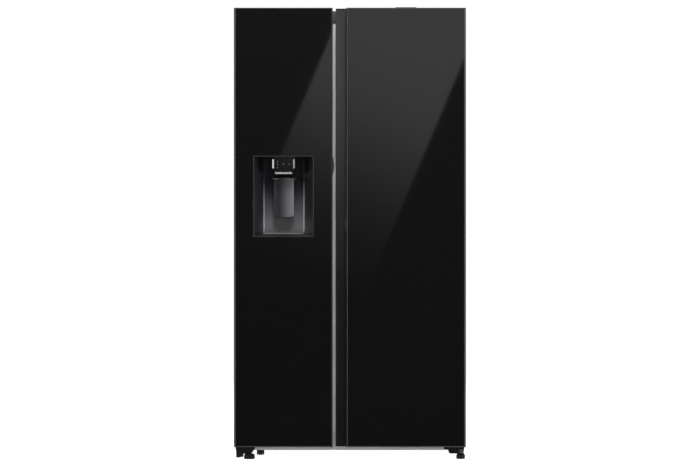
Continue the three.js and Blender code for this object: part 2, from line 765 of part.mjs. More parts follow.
function evaporator() {
  return finnedCoil(
    grown(freezerX, -TUBE_BEND - GAP),
    [coolerFront + 8, roomBack - 5],
    [evaporatorTop - 300, evaporatorTop],
    12, 14, 8,
  );
}

function evaporatorFan() {
  return fanWheel("y", [coolerX, coolerFront + 13, coolerFanZ], coolerFanRadius, 15, 20, 9);
}

function airDuct() {
  const x = (fridgeX[0] + fridgeX[1]) / 2;
  const y = [roomBack - DUCT_DEPTH, roomBack - GAP];
  const duct = block(grown([x, x], 85), y, [floorZ + 390, ceilingZ - 60]);
  const outlets = [];
  for (let i = 0; i < 4; i += 1) {
    const z = floorZ + 470 + (i * (ceilingZ - floorZ - 610)) / 3;
    for (const middle of [x - 45, x + 45]) {
      outlets.push(block(grown([middle, middle], 28), [y[0] - 1, y[0] + 10], [z, z + 14]));
    }
  }
  return cut(duct, ...outlets);
}

function iceMaker() {
  const x = grown(freezerX, -12);
  const yFront = cabinetFront + SHELF_SETBACK - 10;
  const body = block(x, [yFront, yFront + 220], [iceMakerBottom, ceilingZ - GAP]);
  const half = (x[1] - x[0]) / 4;
  const spout = taper(
    yFront - 52, [coolerX - half, coolerX + half, iceMakerBottom + 2, iceMakerBottom + 40],
    yFront + 1, [coolerX - half - 20, coolerX + half + 20, iceMakerBottom + 6, ceilingZ - 40],
  );
  const hollow = block(
    grown([coolerX, coolerX], half - 6),
    [yFront - 48, yFront + 60],
    [0, iceMakerBottom + 34],
  );
  return cut(join(body, spout), hollow);
}

// ------------------------------------------------------------------ shelves and drawers

function shelf(xRange, yBack, z) {
  const x = grown(xRange, -SHELF_SIDE_GAP);
  const yFront = cabinetFront + SHELF_SETBACK;
  const pane = block(x, [yFront + 1, yBack - 1], [z + SHELF_UNDER, z + SHELF_UNDER + SHELF_PANE]);
  const nose = block(x, [yFront, yFront + 12], [z, z + SHELF_TRIM]);
  const tail = block(x, [yBack - 10, yBack], [z, z + SHELF_TRIM]);
  return join(pane, nose, tail);
}

// An open-topped box with a thicker front and a finger scoop in the front's upper edge.
function drawer(xRange, yRange, zRange) {
  const faceBack = yRange[0] + 7;
  const box = block(xRange, yRange, zRange);
  const inside = block(
    grown(xRange, -BIN_WALL),
    [faceBack, yRange[1] - BIN_WALL],
    [zRange[0] + BIN_WALL, zRange[1] + 1],
  );
  const middle = (xRange[0] + xRange[1]) / 2;
  const scoop = block(
    grown([middle, middle], 55),
    [yRange[0] - 1, faceBack + 1],
    [zRange[1] - 24, zRange[1] + 1],
  );
  return cut(box, inside, scoop);
}

// An open-topped box that hooks between the ridges of a door.
function doorBin(xRange, depth, z, height) {
  const x = grown(xRange, -BIN_SIDE_GAP);
  const y = [doorBack + GAP, doorBack + depth];
  const box = block(x, y, [z, z + height]);
  const inside = block(grown(x, -BIN_WALL), grown(y, -BIN_WALL), [z + BIN_WALL, z + height + 1]);
  const dip = block(grown(x, 1), [doorBack, y[1] - 30], [z + height - 30, z + height + 1]);
  return cut(box, inside, dip);
}

// ------------------------------------------------------------------ doors

// Pocket in a door's top, over which the upper hinge and its cover reach, grown by `by`.
function hingePocket(side, by) {
  const x = [pinX - POCKET_REACH - by, doorHalf + 1];
  const z = [pocketFloor - by, doorTop + 1];
  return block(side > 0 ? x : mirrored(x), [lipBack - by, cabinetFront], z);
}

function freezerDoorVolume(inset, yRange) {
  const slab = block(grown(freezerDoorX, -inset), yRange, [DOOR_BOTTOM + inset, doorTop - inset]);
  const grip = block(
    [freezerDoorX[1] - GRIP_UNDERCUT - inset, freezerDoorX[1] + 1],
    [front + GRIP_EDGE - inset, handleY + inset],
    [0, doorTop + 1],
  );
  return cut(slab, grip, hingePocket(-1, inset));
}

function fridgeDoorVolume(inset, yRange) {
  const z = [DOOR_BOTTOM + inset, doorTop - inset];
  const slab = block([fridgeGlassEdge + inset, fridgeDoorX[1] - inset], yRange, z);
  const wingFront = handleY + HANDLE_SHEET + GAP;
  const grip = block(
    [fridgeDoorX[0] - 1, fridgeGlassEdge + GRIP_UNDERCUT + inset],
    [front + GRIP_EDGE - inset, wingFront + inset],
    [0, doorTop + 1],
  );
  const wing = block(
    [fridgeDoorX[0] + inset, fridgeGlassEdge + GRIP_UNDERCUT + 10],
    [Math.max(wingFront + inset, yRange[0]), yRange[1]],
    z,
  );
  return cut(join(cut(slab, grip), wing), hingePocket(1, inset));
}

// The two bosses that hold a door's hinge pins, or the space that they need.
function pinBosses(side, by) {
  const centre = [side * pinX, pinY, 0];
  const radius = BOSS_RADIUS + by;
  const length = PIN_LENGTH + 4;
  const top = rod("z", centre, radius, grown([pocketFloor - length, pocketFloor], by), 24);
  const bottom = rod("z", centre, radius, grown([DOOR_BOTTOM, DOOR_BOTTOM + length], by), 24);
  return join(top, bottom);
}

function pinBores(side) {
  const centre = [side * pinX, pinY, 0];
  const radius = PIN_RADIUS + PIN_PLAY;
  const top = rod("z", centre, radius, [pocketFloor - PIN_LENGTH - 1, doorTop + 1]);
  const bottom = rod("z", centre, radius, [0, DOOR_BOTTOM + PIN_LENGTH + 1]);
  return join(top, bottom);
}

const glassBack = front + GLASS + GAP;
const ledgeBack = glassBack + GLASS_LEDGE;

// The frame round a door: side profiles and end caps in one, open at the back, with a glass ledge.
function doorFrame(volume, glassX, side) {
  const hollow = volume(FRAME_WALL, [ledgeBack, frameBack + 1]);
  const z = [DOOR_BOTTOM, doorTop];
  const seat = block(glassX, [front - 1, glassBack], grown(z, -TRIM_END));
  const window = block(
    grown(glassX, -LEDGE_REACH),
    [front - 1, ledgeBack + 0.01],
    grown(z, -TRIM_END - LEDGE_REACH),
  );
  const shell = join(cut(volume(0, [front, frameBack]), hollow, seat, window), pinBosses(side, 0));
  return cut(shell, pinBores(side));
}

function doorGlass(glassX) {
  const z = grown([DOOR_BOTTOM, doorTop], -TRIM_END - GAP);
  return block(grown(glassX, -GAP), [front, front + GLASS], z);
}

// Foam that fills a door: `faceX` is the part of it that reaches through the ledge to the glass.
function doorFoam(volume, faceX, side) {
  const core = volume(FRAME_WALL + GAP, [ledgeBack + GAP, frameBack]);
  const z = grown([DOOR_BOTTOM, doorTop], -TRIM_END - LEDGE_REACH - GAP);
  const face = block(faceX, [glassBack, ledgeBack + 1], z);
  return cut(join(core, face), pinBosses(side, GAP));
}

// The ring of ridges on a door's inner liner.
function ridges([x0, x1]) {
  const z = [floorZ + RIDGE_CLEAR, ceilingZ - RIDGE_CLEAR];
  const y = [doorBack - 1, doorBack + RIDGE_HEIGHT];
  const low = [doorBack - 1, doorBack + RIDGE_HEIGHT - 25];
  return join(
    block([x0, x0 + RIDGE_WIDTH], y, z),
    block([x1 - RIDGE_WIDTH, x1], y, z),
    block([x0, x1], low, [z[0], z[0] + RIDGE_WIDTH]),
    block([x0, x1], low, [z[1] - RIDGE_WIDTH, z[1]]),
  );
}

function gasket([x0, x1]) {
  const y = [doorBack + GAP, cabinetFront - GAP];
  const z = [DOOR_BOTTOM + GASKET_BOTTOM, doorTop - GASKET_TOP];
  const ring = block([x0, x1], y, z);
  return cut(ring, block(grown([x0, x1], -GASKET_WIDTH), grown(y, 1), grown(z, -GASKET_WIDTH)));
}

const freezerGlassX = [freezerDoorX[0] + TRIM_OUTER, freezerDoorX[1] - TRIM_INNER];
const fridgeGlassX = [fridgeGlassEdge + TRIM_INNER, fridgeDoorX[1] - TRIM_OUTER];
const freezerFaceX = [
  freezerGlassX[0] + LEDGE_REACH + GAP,
  freezerDoorX[1] - GRIP_UNDERCUT - FRAME_WALL - GAP,
];
const fridgeFaceX = [
  fridgeGlassEdge + GRIP_UNDERCUT + FRAME_WALL + GAP,
  fridgeGlassX[1] - LEDGE_REACH - GAP,
];
const freezerRidgeX = [freezerDoorX[0] + RIDGE_INSET, freezerDoorX[1] - RIDGE_FREE];
const fridgeRidgeX = [fridgeDoorX[0] + RIDGE_FREE_WIDE, fridgeDoorX[1] - RIDGE_INSET];
const freezerBinX = grown(freezerRidgeX, -RIDGE_WIDTH);
const fridgeBinX = grown(fridgeRidgeX, -RIDGE_WIDTH);

function freezerDoorLiner() {
  const y = [doorBack - LINER, doorBack];
  const plate = cut(block(freezerDoorX, y, [DOOR_BOTTOM, doorTop]), hingePocket(-1, 0));
  const bulge = block(grown(freezerBinX, 1), [doorBack - 1, doorBack + BULGE_DEPTH], bulgeZ);
  const hollow = block(
    grown(freezerBinX, 1 - LINER),
    [doorBack - 9, doorBack + BULGE_DEPTH - LINER],
    grown(bulgeZ, -LINER),
  );
  const mouth = block(chuteX, grown(y, 1), chuteMouthZ);
  return cut(join(plate, ridges(freezerRidgeX), bulge), hollow, mouth);
}

function fridgeDoorLiner() {
  const plate = block(fridgeDoorX, [doorBack - LINER, doorBack], [DOOR_BOTTOM, doorTop]);
  return join(cut(plate, hingePocket(1, 0)), ridges(fridgeRidgeX));
}

// The dispenser's outside, pulled out by `by`: a tub that narrows towards its back.
function dispenserTub(by) {
  const half = DISPENSER_WIDTH / 2 - GAP + by;
  const halfBack = DISPENSER_WIDTH / 2 - DISPENSER_RIM - RECESS_TAPER + LINER + by;
  const top = dispenserTop - GAP + by;
  const bottom = dispenserBottom + GAP - by;
  const mouth = [dispenserX - half, dispenserX + half, bottom, top];
  const rear = [dispenserX - halfBack, dispenserX + halfBack, bottom + RECESS_FLOOR_RISE, top];
  return taper(front, mouth, recessBack + LINER + by, rear);
}

function dispenserRecess() {
  const half = DISPENSER_WIDTH / 2 - DISPENSER_RIM;
  const halfBack = half - RECESS_TAPER;
  const bottom = dispenserBottom + DISPENSER_RIM;
  const mouth = [dispenserX - half, dispenserX + half, bottom, recessTop];
  const rear = [dispenserX - halfBack, dispenserX + halfBack, bottom + RECESS_FLOOR_RISE, recessTop];
  return taper(front - 0.01, mouth, recessBack, rear);
}

const leverTop = recessTop - LEVER_DROP;
const leverY = front + LEVER_SETBACK;
const leverPivot = [dispenserX, leverY + LEVER_THICKNESS / 2, leverTop - 4];

function dispenserHousing() {
  const earInner = LEVER_WIDTH / 2 + 2;
  const ears = [-1, 1].map((side) => {
    const x = [dispenserX + side * earInner, dispenserX + side * (earInner + 4)].sort((a, b) => a - b);
    return block(x, [leverPivot[1] - 7, recessBack + 1], [leverPivot[2] - 9, leverPivot[2] + 9]);
  });
  const bore = rod("x", leverPivot, 3.3, [-earInner - 6, earInner + 6], 16);
  const duct = block(chuteX, chuteY, [recessTop - 1, dispenserTop + 1]);
  return cut(join(cut(dispenserTub(0), dispenserRecess()), ...ears), bore, duct);
}

function dispenserLever() {
  const half = LEVER_WIDTH / 2;
  const pad = block(
    [dispenserX - half, dispenserX + half],
    [leverY, leverY + LEVER_THICKNESS],
    [leverTop - LEVER_HEIGHT, leverTop],
  );
  return join(pad, rod("x", leverPivot, 3, [-half - 5.5, half + 5.5], 16));
}

const panelBottom = recessTop - GAP - PANEL_HEIGHT;
const panelY = [front + PANEL_SETBACK, front + PANEL_SETBACK + PANEL_DEPTH];
const flapTop = panelBottom - 1;
const flapPivot = [dispenserX, panelY[1] - 7, flapTop - 1.5];

function controlPanel() {
  const half = PANEL_WIDTH / 2;
  const bevel = 10;
  const outline = [
    [-half, recessTop - GAP],
    [-half, panelBottom + bevel],
    [-half + bevel, panelBottom],
    [half - bevel, panelBottom],
    [half, panelBottom + bevel],
    [half, recessTop - GAP],
  ].map(([x, z]) => [x + dispenserX, z]);
  const inner = FLAP_WIDTH / 2 + 1.5;
  const lugs = [-1, 1].map((side) => {
    const x = [dispenserX + side * inner, dispenserX + side * (inner + 3)].sort((a, b) => a - b);
    return block(x, [flapPivot[1] - 6, panelY[1]], [flapPivot[2] - 7, panelBottom + 1]);
  });
  const duct = block(chuteX, chuteY, [0, dispenserTop + 1]);
  const bore = rod("x", flapPivot, 2.8, [-inner - 5, inner + 5], 16);
  return cut(join(prism("y", outline, panelY), ...lugs), duct, bore);
}

function chuteFlap() {
  const half = FLAP_WIDTH / 2;
  const plate = block(
    [dispenserX - half, dispenserX + half],
    [flapPivot[1] - FLAP_LENGTH, flapPivot[1]],
    [flapTop - 3, flapTop],
  );
  return join(plate, rod("x", flapPivot, 2.5, [-half - 4, half + 4], 16));
}

function freezerDoorFoam() {
  const foam = doorFoam(freezerDoorVolume, freezerFaceX, -1);
  const boss = block(
    grown(freezerBinX, 1 - LINER - GAP),
    [frameBack - 1, doorBack + BULGE_DEPTH - LINER - GAP],
    grown(bulgeZ, -LINER - GAP),
  );
  const duct = block(chuteX, chuteY, [dispenserTop - 5, chuteMouthZ[1]]);
  const turn = block(chuteX, [chuteY[0], doorBack], chuteMouthZ);
  return cut(join(foam, boss), dispenserTub(GAP), duct, turn);
}

function freezerDoorGlass() {
  const half = DISPENSER_WIDTH / 2;
  const opening = block(
    [dispenserX - half, dispenserX + half],
    [front - 1, glassBack],
    [dispenserBottom, dispenserTop],
  );
  return cut(doorGlass(freezerGlassX), opening);
}

function iceBucket() {
  const x = grown(freezerBinX, -BIN_SIDE_GAP);
  const y = [doorBack + GAP, doorBack + BIN_DEPTH];
  const z = [bucketBottom, bucketBottom + BUCKET_HEIGHT];
  const inside = block(grown(x, -BIN_WALL), grown(y, -BIN_WALL), [z[0] + BIN_WALL, z[1] + 1]);
  const mouth = block(chuteX, [doorBack, doorBack + BIN_WALL + 1], chuteMouthZ);
  return cut(block(x, y, z), inside, mouth);
}

// The grip channel: a sheet set back beside the glass, with an end wall behind the glass edge.
function handleChannel() {
  const end = fridgeGlassEdge + GRIP_UNDERCUT - GAP;
  const outline = [
    [fridgeDoorX[0], handleY],
    [end - HANDLE_SHEET, handleY],
    [end - HANDLE_SHEET, front + GRIP_EDGE + GAP],
    [end, front + GRIP_EDGE + GAP],
    [end, handleY + HANDLE_SHEET],
    [fridgeDoorX[0], handleY + HANDLE_SHEET],
  ].reverse();
  return prism("z", outline, [DOOR_BOTTOM + 5, doorTop - 5]);
}

// ------------------------------------------------------------------ assembly

const refrigerator = new THREE.Group();
const cabinet = groupAt(refrigerator, 0, 0, 0);
const freezerDoor = groupAt(refrigerator, -pinX, pinY, 0);
const fridgeDoor = groupAt(refrigerator, pinX, pinY, 0);

part(cabinet, "cabinet_wrapper", cabinetWrapper(), FINISH.cabinet());
part(cabinet, "cabinet_foam", cabinetFoam(), FINISH.foam());
part(cabinet, "rear_panel", rearPanel(), FINISH.galvanised());
part(cabinet, "freezer_liner", liner(freezerX, freezerBack, freezerShelfZ), FINISH.liner());
const fridgeRibs = [coverShelfZ, ...fridgeShelfZ];
part(cabinet, "fridge_liner", liner(fridgeX, ductedBack, fridgeRibs), FINISH.liner());
part(cabinet, "middle_post_strip", postStrip(), FINISH.bright());
part(cabinet, "front_bottom_beam", bottomBeam(), FINISH.bright());
part(cabinet, "top_cover", topCover(), FINISH.darkPlastic());
part(cabinet, "control_box_cover", controlBoxCover(), FINISH.darkPlastic());
part(cabinet, "upper_hinge_left", upperHinge(-1), FINISH.blackSteel());
part(cabinet, "upper_hinge_right", upperHinge(1), FINISH.blackSteel());
part(cabinet, "lower_hinge_left", lowerHingeLeft(), FINISH.blackSteel());
part(cabinet, "lower_hinge_right", lowerHingeRight(), FINISH.blackSteel());
const footLeft = levellingFoot(footLeftX, footLeftY, FOOT_RADIUS_LEFT);
const footRight = levellingFoot(footRightX, footRightY, FOOT_RADIUS_RIGHT);
part(cabinet, "levelling_foot_left", footLeft, FINISH.rubber());
part(cabinet, "levelling_foot_right", footRight, FINISH.rubber());
for (const [name, x] of [["rear_roller_left", -rollerX], ["rear_roller_right", rollerX]]) {
  part(cabinet, name, rearRoller(x), FINISH.darkPlastic());
}
part(cabinet, "front_roller_left", frontRoller(), FINISH.darkPlastic());

part(cabinet, "base_plate", basePlate(), FINISH.galvanised());
part(cabinet, "compressor", compressor(), FINISH.blackSteel());
part(cabinet, "condenser", condenser(), FINISH.blackSteel());
part(cabinet, "condenser_fan", condenserFan(), FINISH.darkPlastic());
part(cabinet, "machine_cover", machineCover(), FINISH.galvanised());
part(cabinet, "evaporator_cover", evaporatorCover(), FINISH.liner());
part(cabinet, "evaporator", evaporator(), FINISH.aluminium());
part(cabinet, "evaporator_fan", evaporatorFan(), FINISH.darkPlastic());
part(cabinet, "fridge_air_duct", airDuct(), FINISH.liner());
part(cabinet, "ice_maker", iceMaker(), FINISH.liner());

const lowZ = [floorZ + GAP, floorZ + GAP + DRAWER_LOW_HEIGHT];
const highZ = [Math.max(stepZ, lowZ[1]) + GAP, drawerTop];
const drawerSets = [
  ["freezer_drawer_lower", freezerX, stepY - 6, lowZ],
  ["freezer_drawer_upper", freezerX, freezerBack - 4, highZ],
  ["crisper_lower", fridgeX, stepY - 6, lowZ],
  ["crisper_upper", fridgeX, ductedBack - 4, highZ],
];
for (const [name, room, yBack, z] of drawerSets) {
  part(cabinet, name, drawer(grown(room, -DRAWER_SIDE_GAP), [drawerFront, yBack], z), FINISH.clear());
}

part(cabinet, "crisper_cover", shelf(fridgeX, ductedBack, coverShelfZ), FINISH.clear());
fridgeShelfZ.forEach((z, i) => {
  part(cabinet, `fridge_shelf_${i + 1}`, shelf(fridgeX, ductedBack, z), FINISH.clear());
});
freezerShelfZ.forEach((z, i) => {
  part(cabinet, `freezer_shelf_${i + 1}`, shelf(freezerX, freezerBack, z), FINISH.clear());
});

part(freezerDoor, "freezer_door_frame", doorFrame(freezerDoorVolume, freezerGlassX, -1), FINISH.frame());
part(freezerDoor, "freezer_door_glass", freezerDoorGlass(), FINISH.blackGlass());
part(freezerDoor, "freezer_door_foam", freezerDoorFoam(), FINISH.foam());
part(freezerDoor, "freezer_door_liner", freezerDoorLiner(), FINISH.liner());
const freezerGasketX = [freezerDoorX[0] + GASKET_INSET, freezerX[1] + GASKET_WIDTH];
part(freezerDoor, "freezer_gasket", gasket(freezerGasketX), FINISH.gasket());
part(freezerDoor, "dispenser_housing", dispenserHousing(), FINISH.darkPlastic());
part(freezerDoor, "dispenser_control_panel", controlPanel(), FINISH.darkPlastic());
part(freezerDoor, "dispenser_lever", dispenserLever(), FINISH.darkPlastic());
part(freezerDoor, "ice_chute_flap", chuteFlap(), FINISH.darkPlastic());
part(freezerDoor, "ice_bucket", iceBucket(), FINISH.clear());
const freezerBinFloor = floorZ + RIDGE_CLEAR + RIDGE_WIDTH + 8;
for (let i = 1; i <= 2; i += 1) {
  const z = freezerBinFloor + ((i - 1) * (bulgeZ[0] - freezerBinFloor)) / 2;
  part(freezerDoor, `freezer_bin_${i}`, doorBin(freezerBinX, BIN_DEPTH_LOW, z, BIN_HEIGHT), FINISH.clear());
}

part(fridgeDoor, "fridge_door_frame", doorFrame(fridgeDoorVolume, fridgeGlassX, 1), FINISH.frame());
part(fridgeDoor, "fridge_door_glass", doorGlass(fridgeGlassX), FINISH.blackGlass());
part(fridgeDoor, "fridge_door_foam", doorFoam(fridgeDoorVolume, fridgeFaceX, 1), FINISH.foam());
part(fridgeDoor, "fridge_door_liner", fridgeDoorLiner(), FINISH.liner());
const fridgeGasketX = [fridgeX[0] - GASKET_WIDTH, fridgeDoorX[1] - GASKET_INSET];
part(fridgeDoor, "fridge_gasket", gasket(fridgeGasketX), FINISH.gasket());
part(fridgeDoor, "handle_channel", handleChannel(), FINISH.darkPlastic());
for (let i = 1; i <= 4; i += 1) {
  const z = freezerBinFloor + ((i - 1) * (ceilingZ - 60 - freezerBinFloor)) / 4;
  const depth = i === 1 ? BIN_DEPTH_LOW : BIN_DEPTH;
  part(fridgeDoor, `fridge_bin_${i}`, doorBin(fridgeBinX, depth, z, BIN_HEIGHT), FINISH.clear());
}

export default refrigerator;
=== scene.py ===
"""Looks of a side by side refrigerator: finishes, small parts, studio and camera, in millimetres."""

import json
import math

import bmesh
import bpy
from mathutils import Matrix, Vector

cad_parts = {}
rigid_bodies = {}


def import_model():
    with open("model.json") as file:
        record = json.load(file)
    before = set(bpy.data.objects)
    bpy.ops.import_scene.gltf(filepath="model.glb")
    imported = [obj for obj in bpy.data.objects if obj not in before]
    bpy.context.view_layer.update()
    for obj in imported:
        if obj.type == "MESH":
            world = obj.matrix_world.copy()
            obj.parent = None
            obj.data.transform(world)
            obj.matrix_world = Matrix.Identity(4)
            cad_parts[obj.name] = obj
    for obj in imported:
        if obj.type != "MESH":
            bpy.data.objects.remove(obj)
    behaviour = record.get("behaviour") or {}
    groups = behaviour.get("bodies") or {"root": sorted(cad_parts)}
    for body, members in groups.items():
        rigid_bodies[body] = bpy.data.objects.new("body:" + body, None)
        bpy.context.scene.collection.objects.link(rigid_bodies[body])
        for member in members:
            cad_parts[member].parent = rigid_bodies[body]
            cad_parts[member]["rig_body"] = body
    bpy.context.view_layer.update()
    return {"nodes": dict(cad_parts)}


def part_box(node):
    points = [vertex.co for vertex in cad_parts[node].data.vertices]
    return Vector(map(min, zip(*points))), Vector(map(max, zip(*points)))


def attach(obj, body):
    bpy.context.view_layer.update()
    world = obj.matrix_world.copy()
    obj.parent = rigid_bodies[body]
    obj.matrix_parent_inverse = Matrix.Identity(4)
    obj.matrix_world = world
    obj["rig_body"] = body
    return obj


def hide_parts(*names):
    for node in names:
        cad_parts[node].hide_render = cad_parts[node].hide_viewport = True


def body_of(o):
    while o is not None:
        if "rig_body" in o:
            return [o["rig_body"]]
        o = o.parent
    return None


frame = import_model()

MM = 0.001
X, Y, Z = (1, 0, 0), (0, 1, 0), (0, 0, 1)
WHITE = (1, 1, 1, 1)
SPIN_SEED = 7

MERGE = 1e-4  # how near two corners of a new piece are joined, in millimetres
NODE_MERGE = 1e-6  # the same for a CAD node, in metres
COPLANAR = math.radians(0.5)
ROUND_ABOVE = math.radians(28)
SHARP_PIECE = math.radians(38)
SHARP_NODE = math.radians(32)
CORNER = 0.5  # the least angle between two faces at an edge that is picked to be rounded, in radians


# ---------------------------------------------------------------- shader groups

def linear(value):
    """One 0 to 255 display value as a linear one."""
    v = value / 255
    return v / 12.92 if v <= 0.04045 else ((v + 0.055) / 1.055) ** 2.4


def tint(red, green, blue):
    return (linear(red), linear(green), linear(blue), 1.0)


def add(tree, kind, settings=None, inputs=None):
    """A node with its settings, and inputs given by name or number as values or as sockets to link."""
    made = tree.nodes.new(kind)
    for key, value in (settings or {}).items():
        setattr(made, key, value)
    for key, value in (inputs or {}).items():
        if isinstance(value, bpy.types.NodeSocket):
            tree.links.new(value, made.inputs[key])
        else:
            made.inputs[key].default_value = value
    return made


def group_tree(name, sockets_in, sockets_out):
    tree = bpy.data.node_groups.new(name, "ShaderNodeTree")
    for label, kind, value in sockets_in:
        made = tree.interface.new_socket(name=label, in_out="INPUT", socket_type=kind)
        made.default_value = value
    for label, kind in sockets_out:
        tree.interface.new_socket(name=label, in_out="OUTPUT", socket_type=kind)
    return tree, tree.nodes.new("NodeGroupInput").outputs, tree.nodes.new("NodeGroupOutput").inputs


FLOAT, COLOUR, VECTOR = "NodeSocketFloat", "NodeSocketColor", "NodeSocketVector"
SURFACE_IN = [
    ("Colour", COLOUR, (0.5, 0.5, 0.5, 1)),
    ("Shade", FLOAT, 0.05),
    ("Roughness", FLOAT, 0.4),
    ("Spread", FLOAT, 0.1),
]
SURFACE_OUT = [("Colour", COLOUR), ("Roughness", FLOAT), ("Height", FLOAT)]


def maths(tree, operation, *values, clamp=False):
    """The result of a Math node on values or sockets."""
    settings = {"operation": operation, "use_clamp": clamp}
    made = add(tree, "ShaderNodeMath", settings, dict(enumerate(values)))
    return made.outputs[0]


def blend(tree, share, first, second):
    """One colour passing into another. A Mix node's colour sockets go by number."""
    mixed = add(tree, "ShaderNodeMix", {"data_type": "RGBA"}, {0: share, 6: first, 7: second})
    return mixed.outputs[2]


def noise(tree, place, scale, detail):
    made = add(tree, "ShaderNodeTexNoise", None, {"Vector": place, "Scale": scale, "Detail": detail})
    return made.outputs[0]


def object_place(tree):
    return add(tree, "ShaderNodeTexCoord").outputs["Object"]


def shaded(tree, colour, cloud, shade):
    """The colour made lighter and darker by a noise."""
    span = maths(tree, "MULTIPLY_ADD", cloud, 2.0, -1.0)
    part = maths(tree, "MULTIPLY_ADD", span, shade, 1.0)
    made = add(tree, "ShaderNodeVectorMath", {"operation": "SCALE"}, {0: colour, "Scale": part})
    return made.outputs[0]


def spread(tree, roughness, cloud, amount):
    """The roughness raised and lowered by a noise."""
    centred = maths(tree, "SUBTRACT", cloud, 0.5)
    return maths(tree, "MULTIPLY_ADD", centred, amount, roughness, clamp=True)


def put_out(tree, given, out, cloud, height):
    """Links a surface group's outputs. The cloud drives colour and roughness."""
    tree.links.new(shaded(tree, given["Colour"], cloud, given["Shade"]), out["Colour"])
    tree.links.new(spread(tree, given["Roughness"], cloud, given["Spread"]), out["Roughness"])
    tree.links.new(height, out["Height"])
    return tree


def moulded_group():
    """Moulded or painted surface: soft clouding of the colour and a fine orange-peel height."""
    tree, given, out = group_tree("Moulded surface", SURFACE_IN + [("Grain", FLOAT, 900.0)], SURFACE_OUT)
    place = object_place(tree)
    cloud = noise(tree, place, 14.0, 5.0)
    fine = noise(tree, place, given["Grain"], 2.0)
    return put_out(tree, given, out, cloud, fine)


def brushed_group():
    """Brushed or rolled metal: streaks along the direction in which the stretch is small."""
    sockets = SURFACE_IN + [("Stretch", VECTOR, (400.0, 400.0, 8.0))]
    tree, given, out = group_tree("Brushed surface", sockets, SURFACE_OUT)
    place = object_place(tree)
    drawn = add(tree, "ShaderNodeVectorMath", {"operation": "MULTIPLY"}, {0: place, 1: given["Stretch"]})
    streak = noise(tree, drawn.outputs[0], 1.0, 4.0)
    cloud = noise(tree, place, 9.0, 3.0)
    both = maths(tree, "ADD", streak, cloud)
    return put_out(tree, given, out, maths(tree, "MULTIPLY", both, 0.5), streak)


def dust_group():
    """A mask of fine settled dust: more on faces that look up, broken up by noise."""
    tree, given, out = group_tree("Settled dust", [("Amount", FLOAT, 0.3)], [("Mask", FLOAT)])
    place = object_place(tree)
    facing = add(tree, "ShaderNodeNewGeometry").outputs["Normal"]
    up = add(tree, "ShaderNodeSeparateXYZ", None, {0: facing}).outputs[2]
    patchy = noise(tree, place, 30.0, 6.0)
    raised = add(tree, "ShaderNodeMapRange", None, {"Value": up, "From Min": 0.2, "To Min": 0.15})
    mask = maths(tree, "MULTIPLY", patchy, raised.outputs[0])
    tree.links.new(maths(tree, "MULTIPLY", mask, given["Amount"], clamp=True), out["Mask"])
    return tree


def graded_group():
    """A colour that passes into another between two places along a direction."""
    sockets = [("First", COLOUR, (0, 0, 0, 1)), ("Second", COLOUR, WHITE), ("Along", VECTOR, Z)]
    sockets += [("From", FLOAT, 0.0), ("To", FLOAT, 1.0)]
    tree, given, out = group_tree("Graded colour", sockets, [("Colour", COLOUR)])
    place = object_place(tree)
    way = add(tree, "ShaderNodeVectorMath", {"operation": "DOT_PRODUCT"}, {0: place, 1: given["Along"]})
    share = add(
        tree, "ShaderNodeMapRange", {"interpolation_type": "SMOOTHSTEP"},
        {"Value": way.outputs["Value"], "From Min": given["From"], "From Max": given["To"]},
    )
    tree.links.new(blend(tree, share.outputs[0], given["First"], given["Second"]), out["Colour"])
    return tree


MOULDED, BRUSHED, DUST, GRADED = moulded_group(), brushed_group(), dust_group(), graded_group()


# ---------------------------------------------------------------- finishes

DUST_COLOUR = tint(176, 172, 164)
RELIEF_DEPTH = 0.001


def finish(name, colour, rough, kind=MOULDED, shade=0.05, vary=0.1, bump=0.02, extra=None, dust=0.0,
           grade=None, **fixed):
    """A material: its surface group drives colour, roughness and bump; `fixed` sets the shader's own
    sockets. `grade` is a second colour, a direction, and the places along it where the change starts
    and ends."""
    material = bpy.data.materials.new(name)
    material.use_nodes = True
    tree = material.node_tree
    shader = tree.nodes["Principled BSDF"]
    surface = add(tree, "ShaderNodeGroup", {"node_tree": kind})
    values = {"Colour": colour, "Shade": shade, "Roughness": rough, "Spread": vary, **(extra or {})}
    for key, value in values.items():
        surface.inputs[key].default_value = value
    if grade:
        second, along, start, end = grade
        values = {"First": colour, "Second": second, "Along": along, "From": start * MM, "To": end * MM}
        passing = add(tree, "ShaderNodeGroup", {"node_tree": GRADED}, values)
        tree.links.new(passing.outputs[0], surface.inputs["Colour"])
    base = surface.outputs["Colour"]
    if dust:
        mask = add(tree, "ShaderNodeGroup", {"node_tree": DUST}, {"Amount": dust})
        base = blend(tree, mask.outputs[0], base, DUST_COLOUR)
    tree.links.new(base, shader.inputs["Base Color"])
    tree.links.new(surface.outputs["Roughness"], shader.inputs["Roughness"])
    heights = {"Strength": bump, "Distance": RELIEF_DEPTH, "Height": surface.outputs["Height"]}
    relief = add(tree, "ShaderNodeBump", None, heights)
    tree.links.new(relief.outputs[0], shader.inputs["Normal"])
    for key, value in fixed.items():
        shader.inputs[key.replace("_", " ")].default_value = value
    return material


def lit(name, colour, strength):
    """A small window that glows: a faintly mottled, glossy face that gives light."""
    return finish(name, colour, 0.25, shade=0.08, Emission_Color=colour, Emission_Strength=strength)


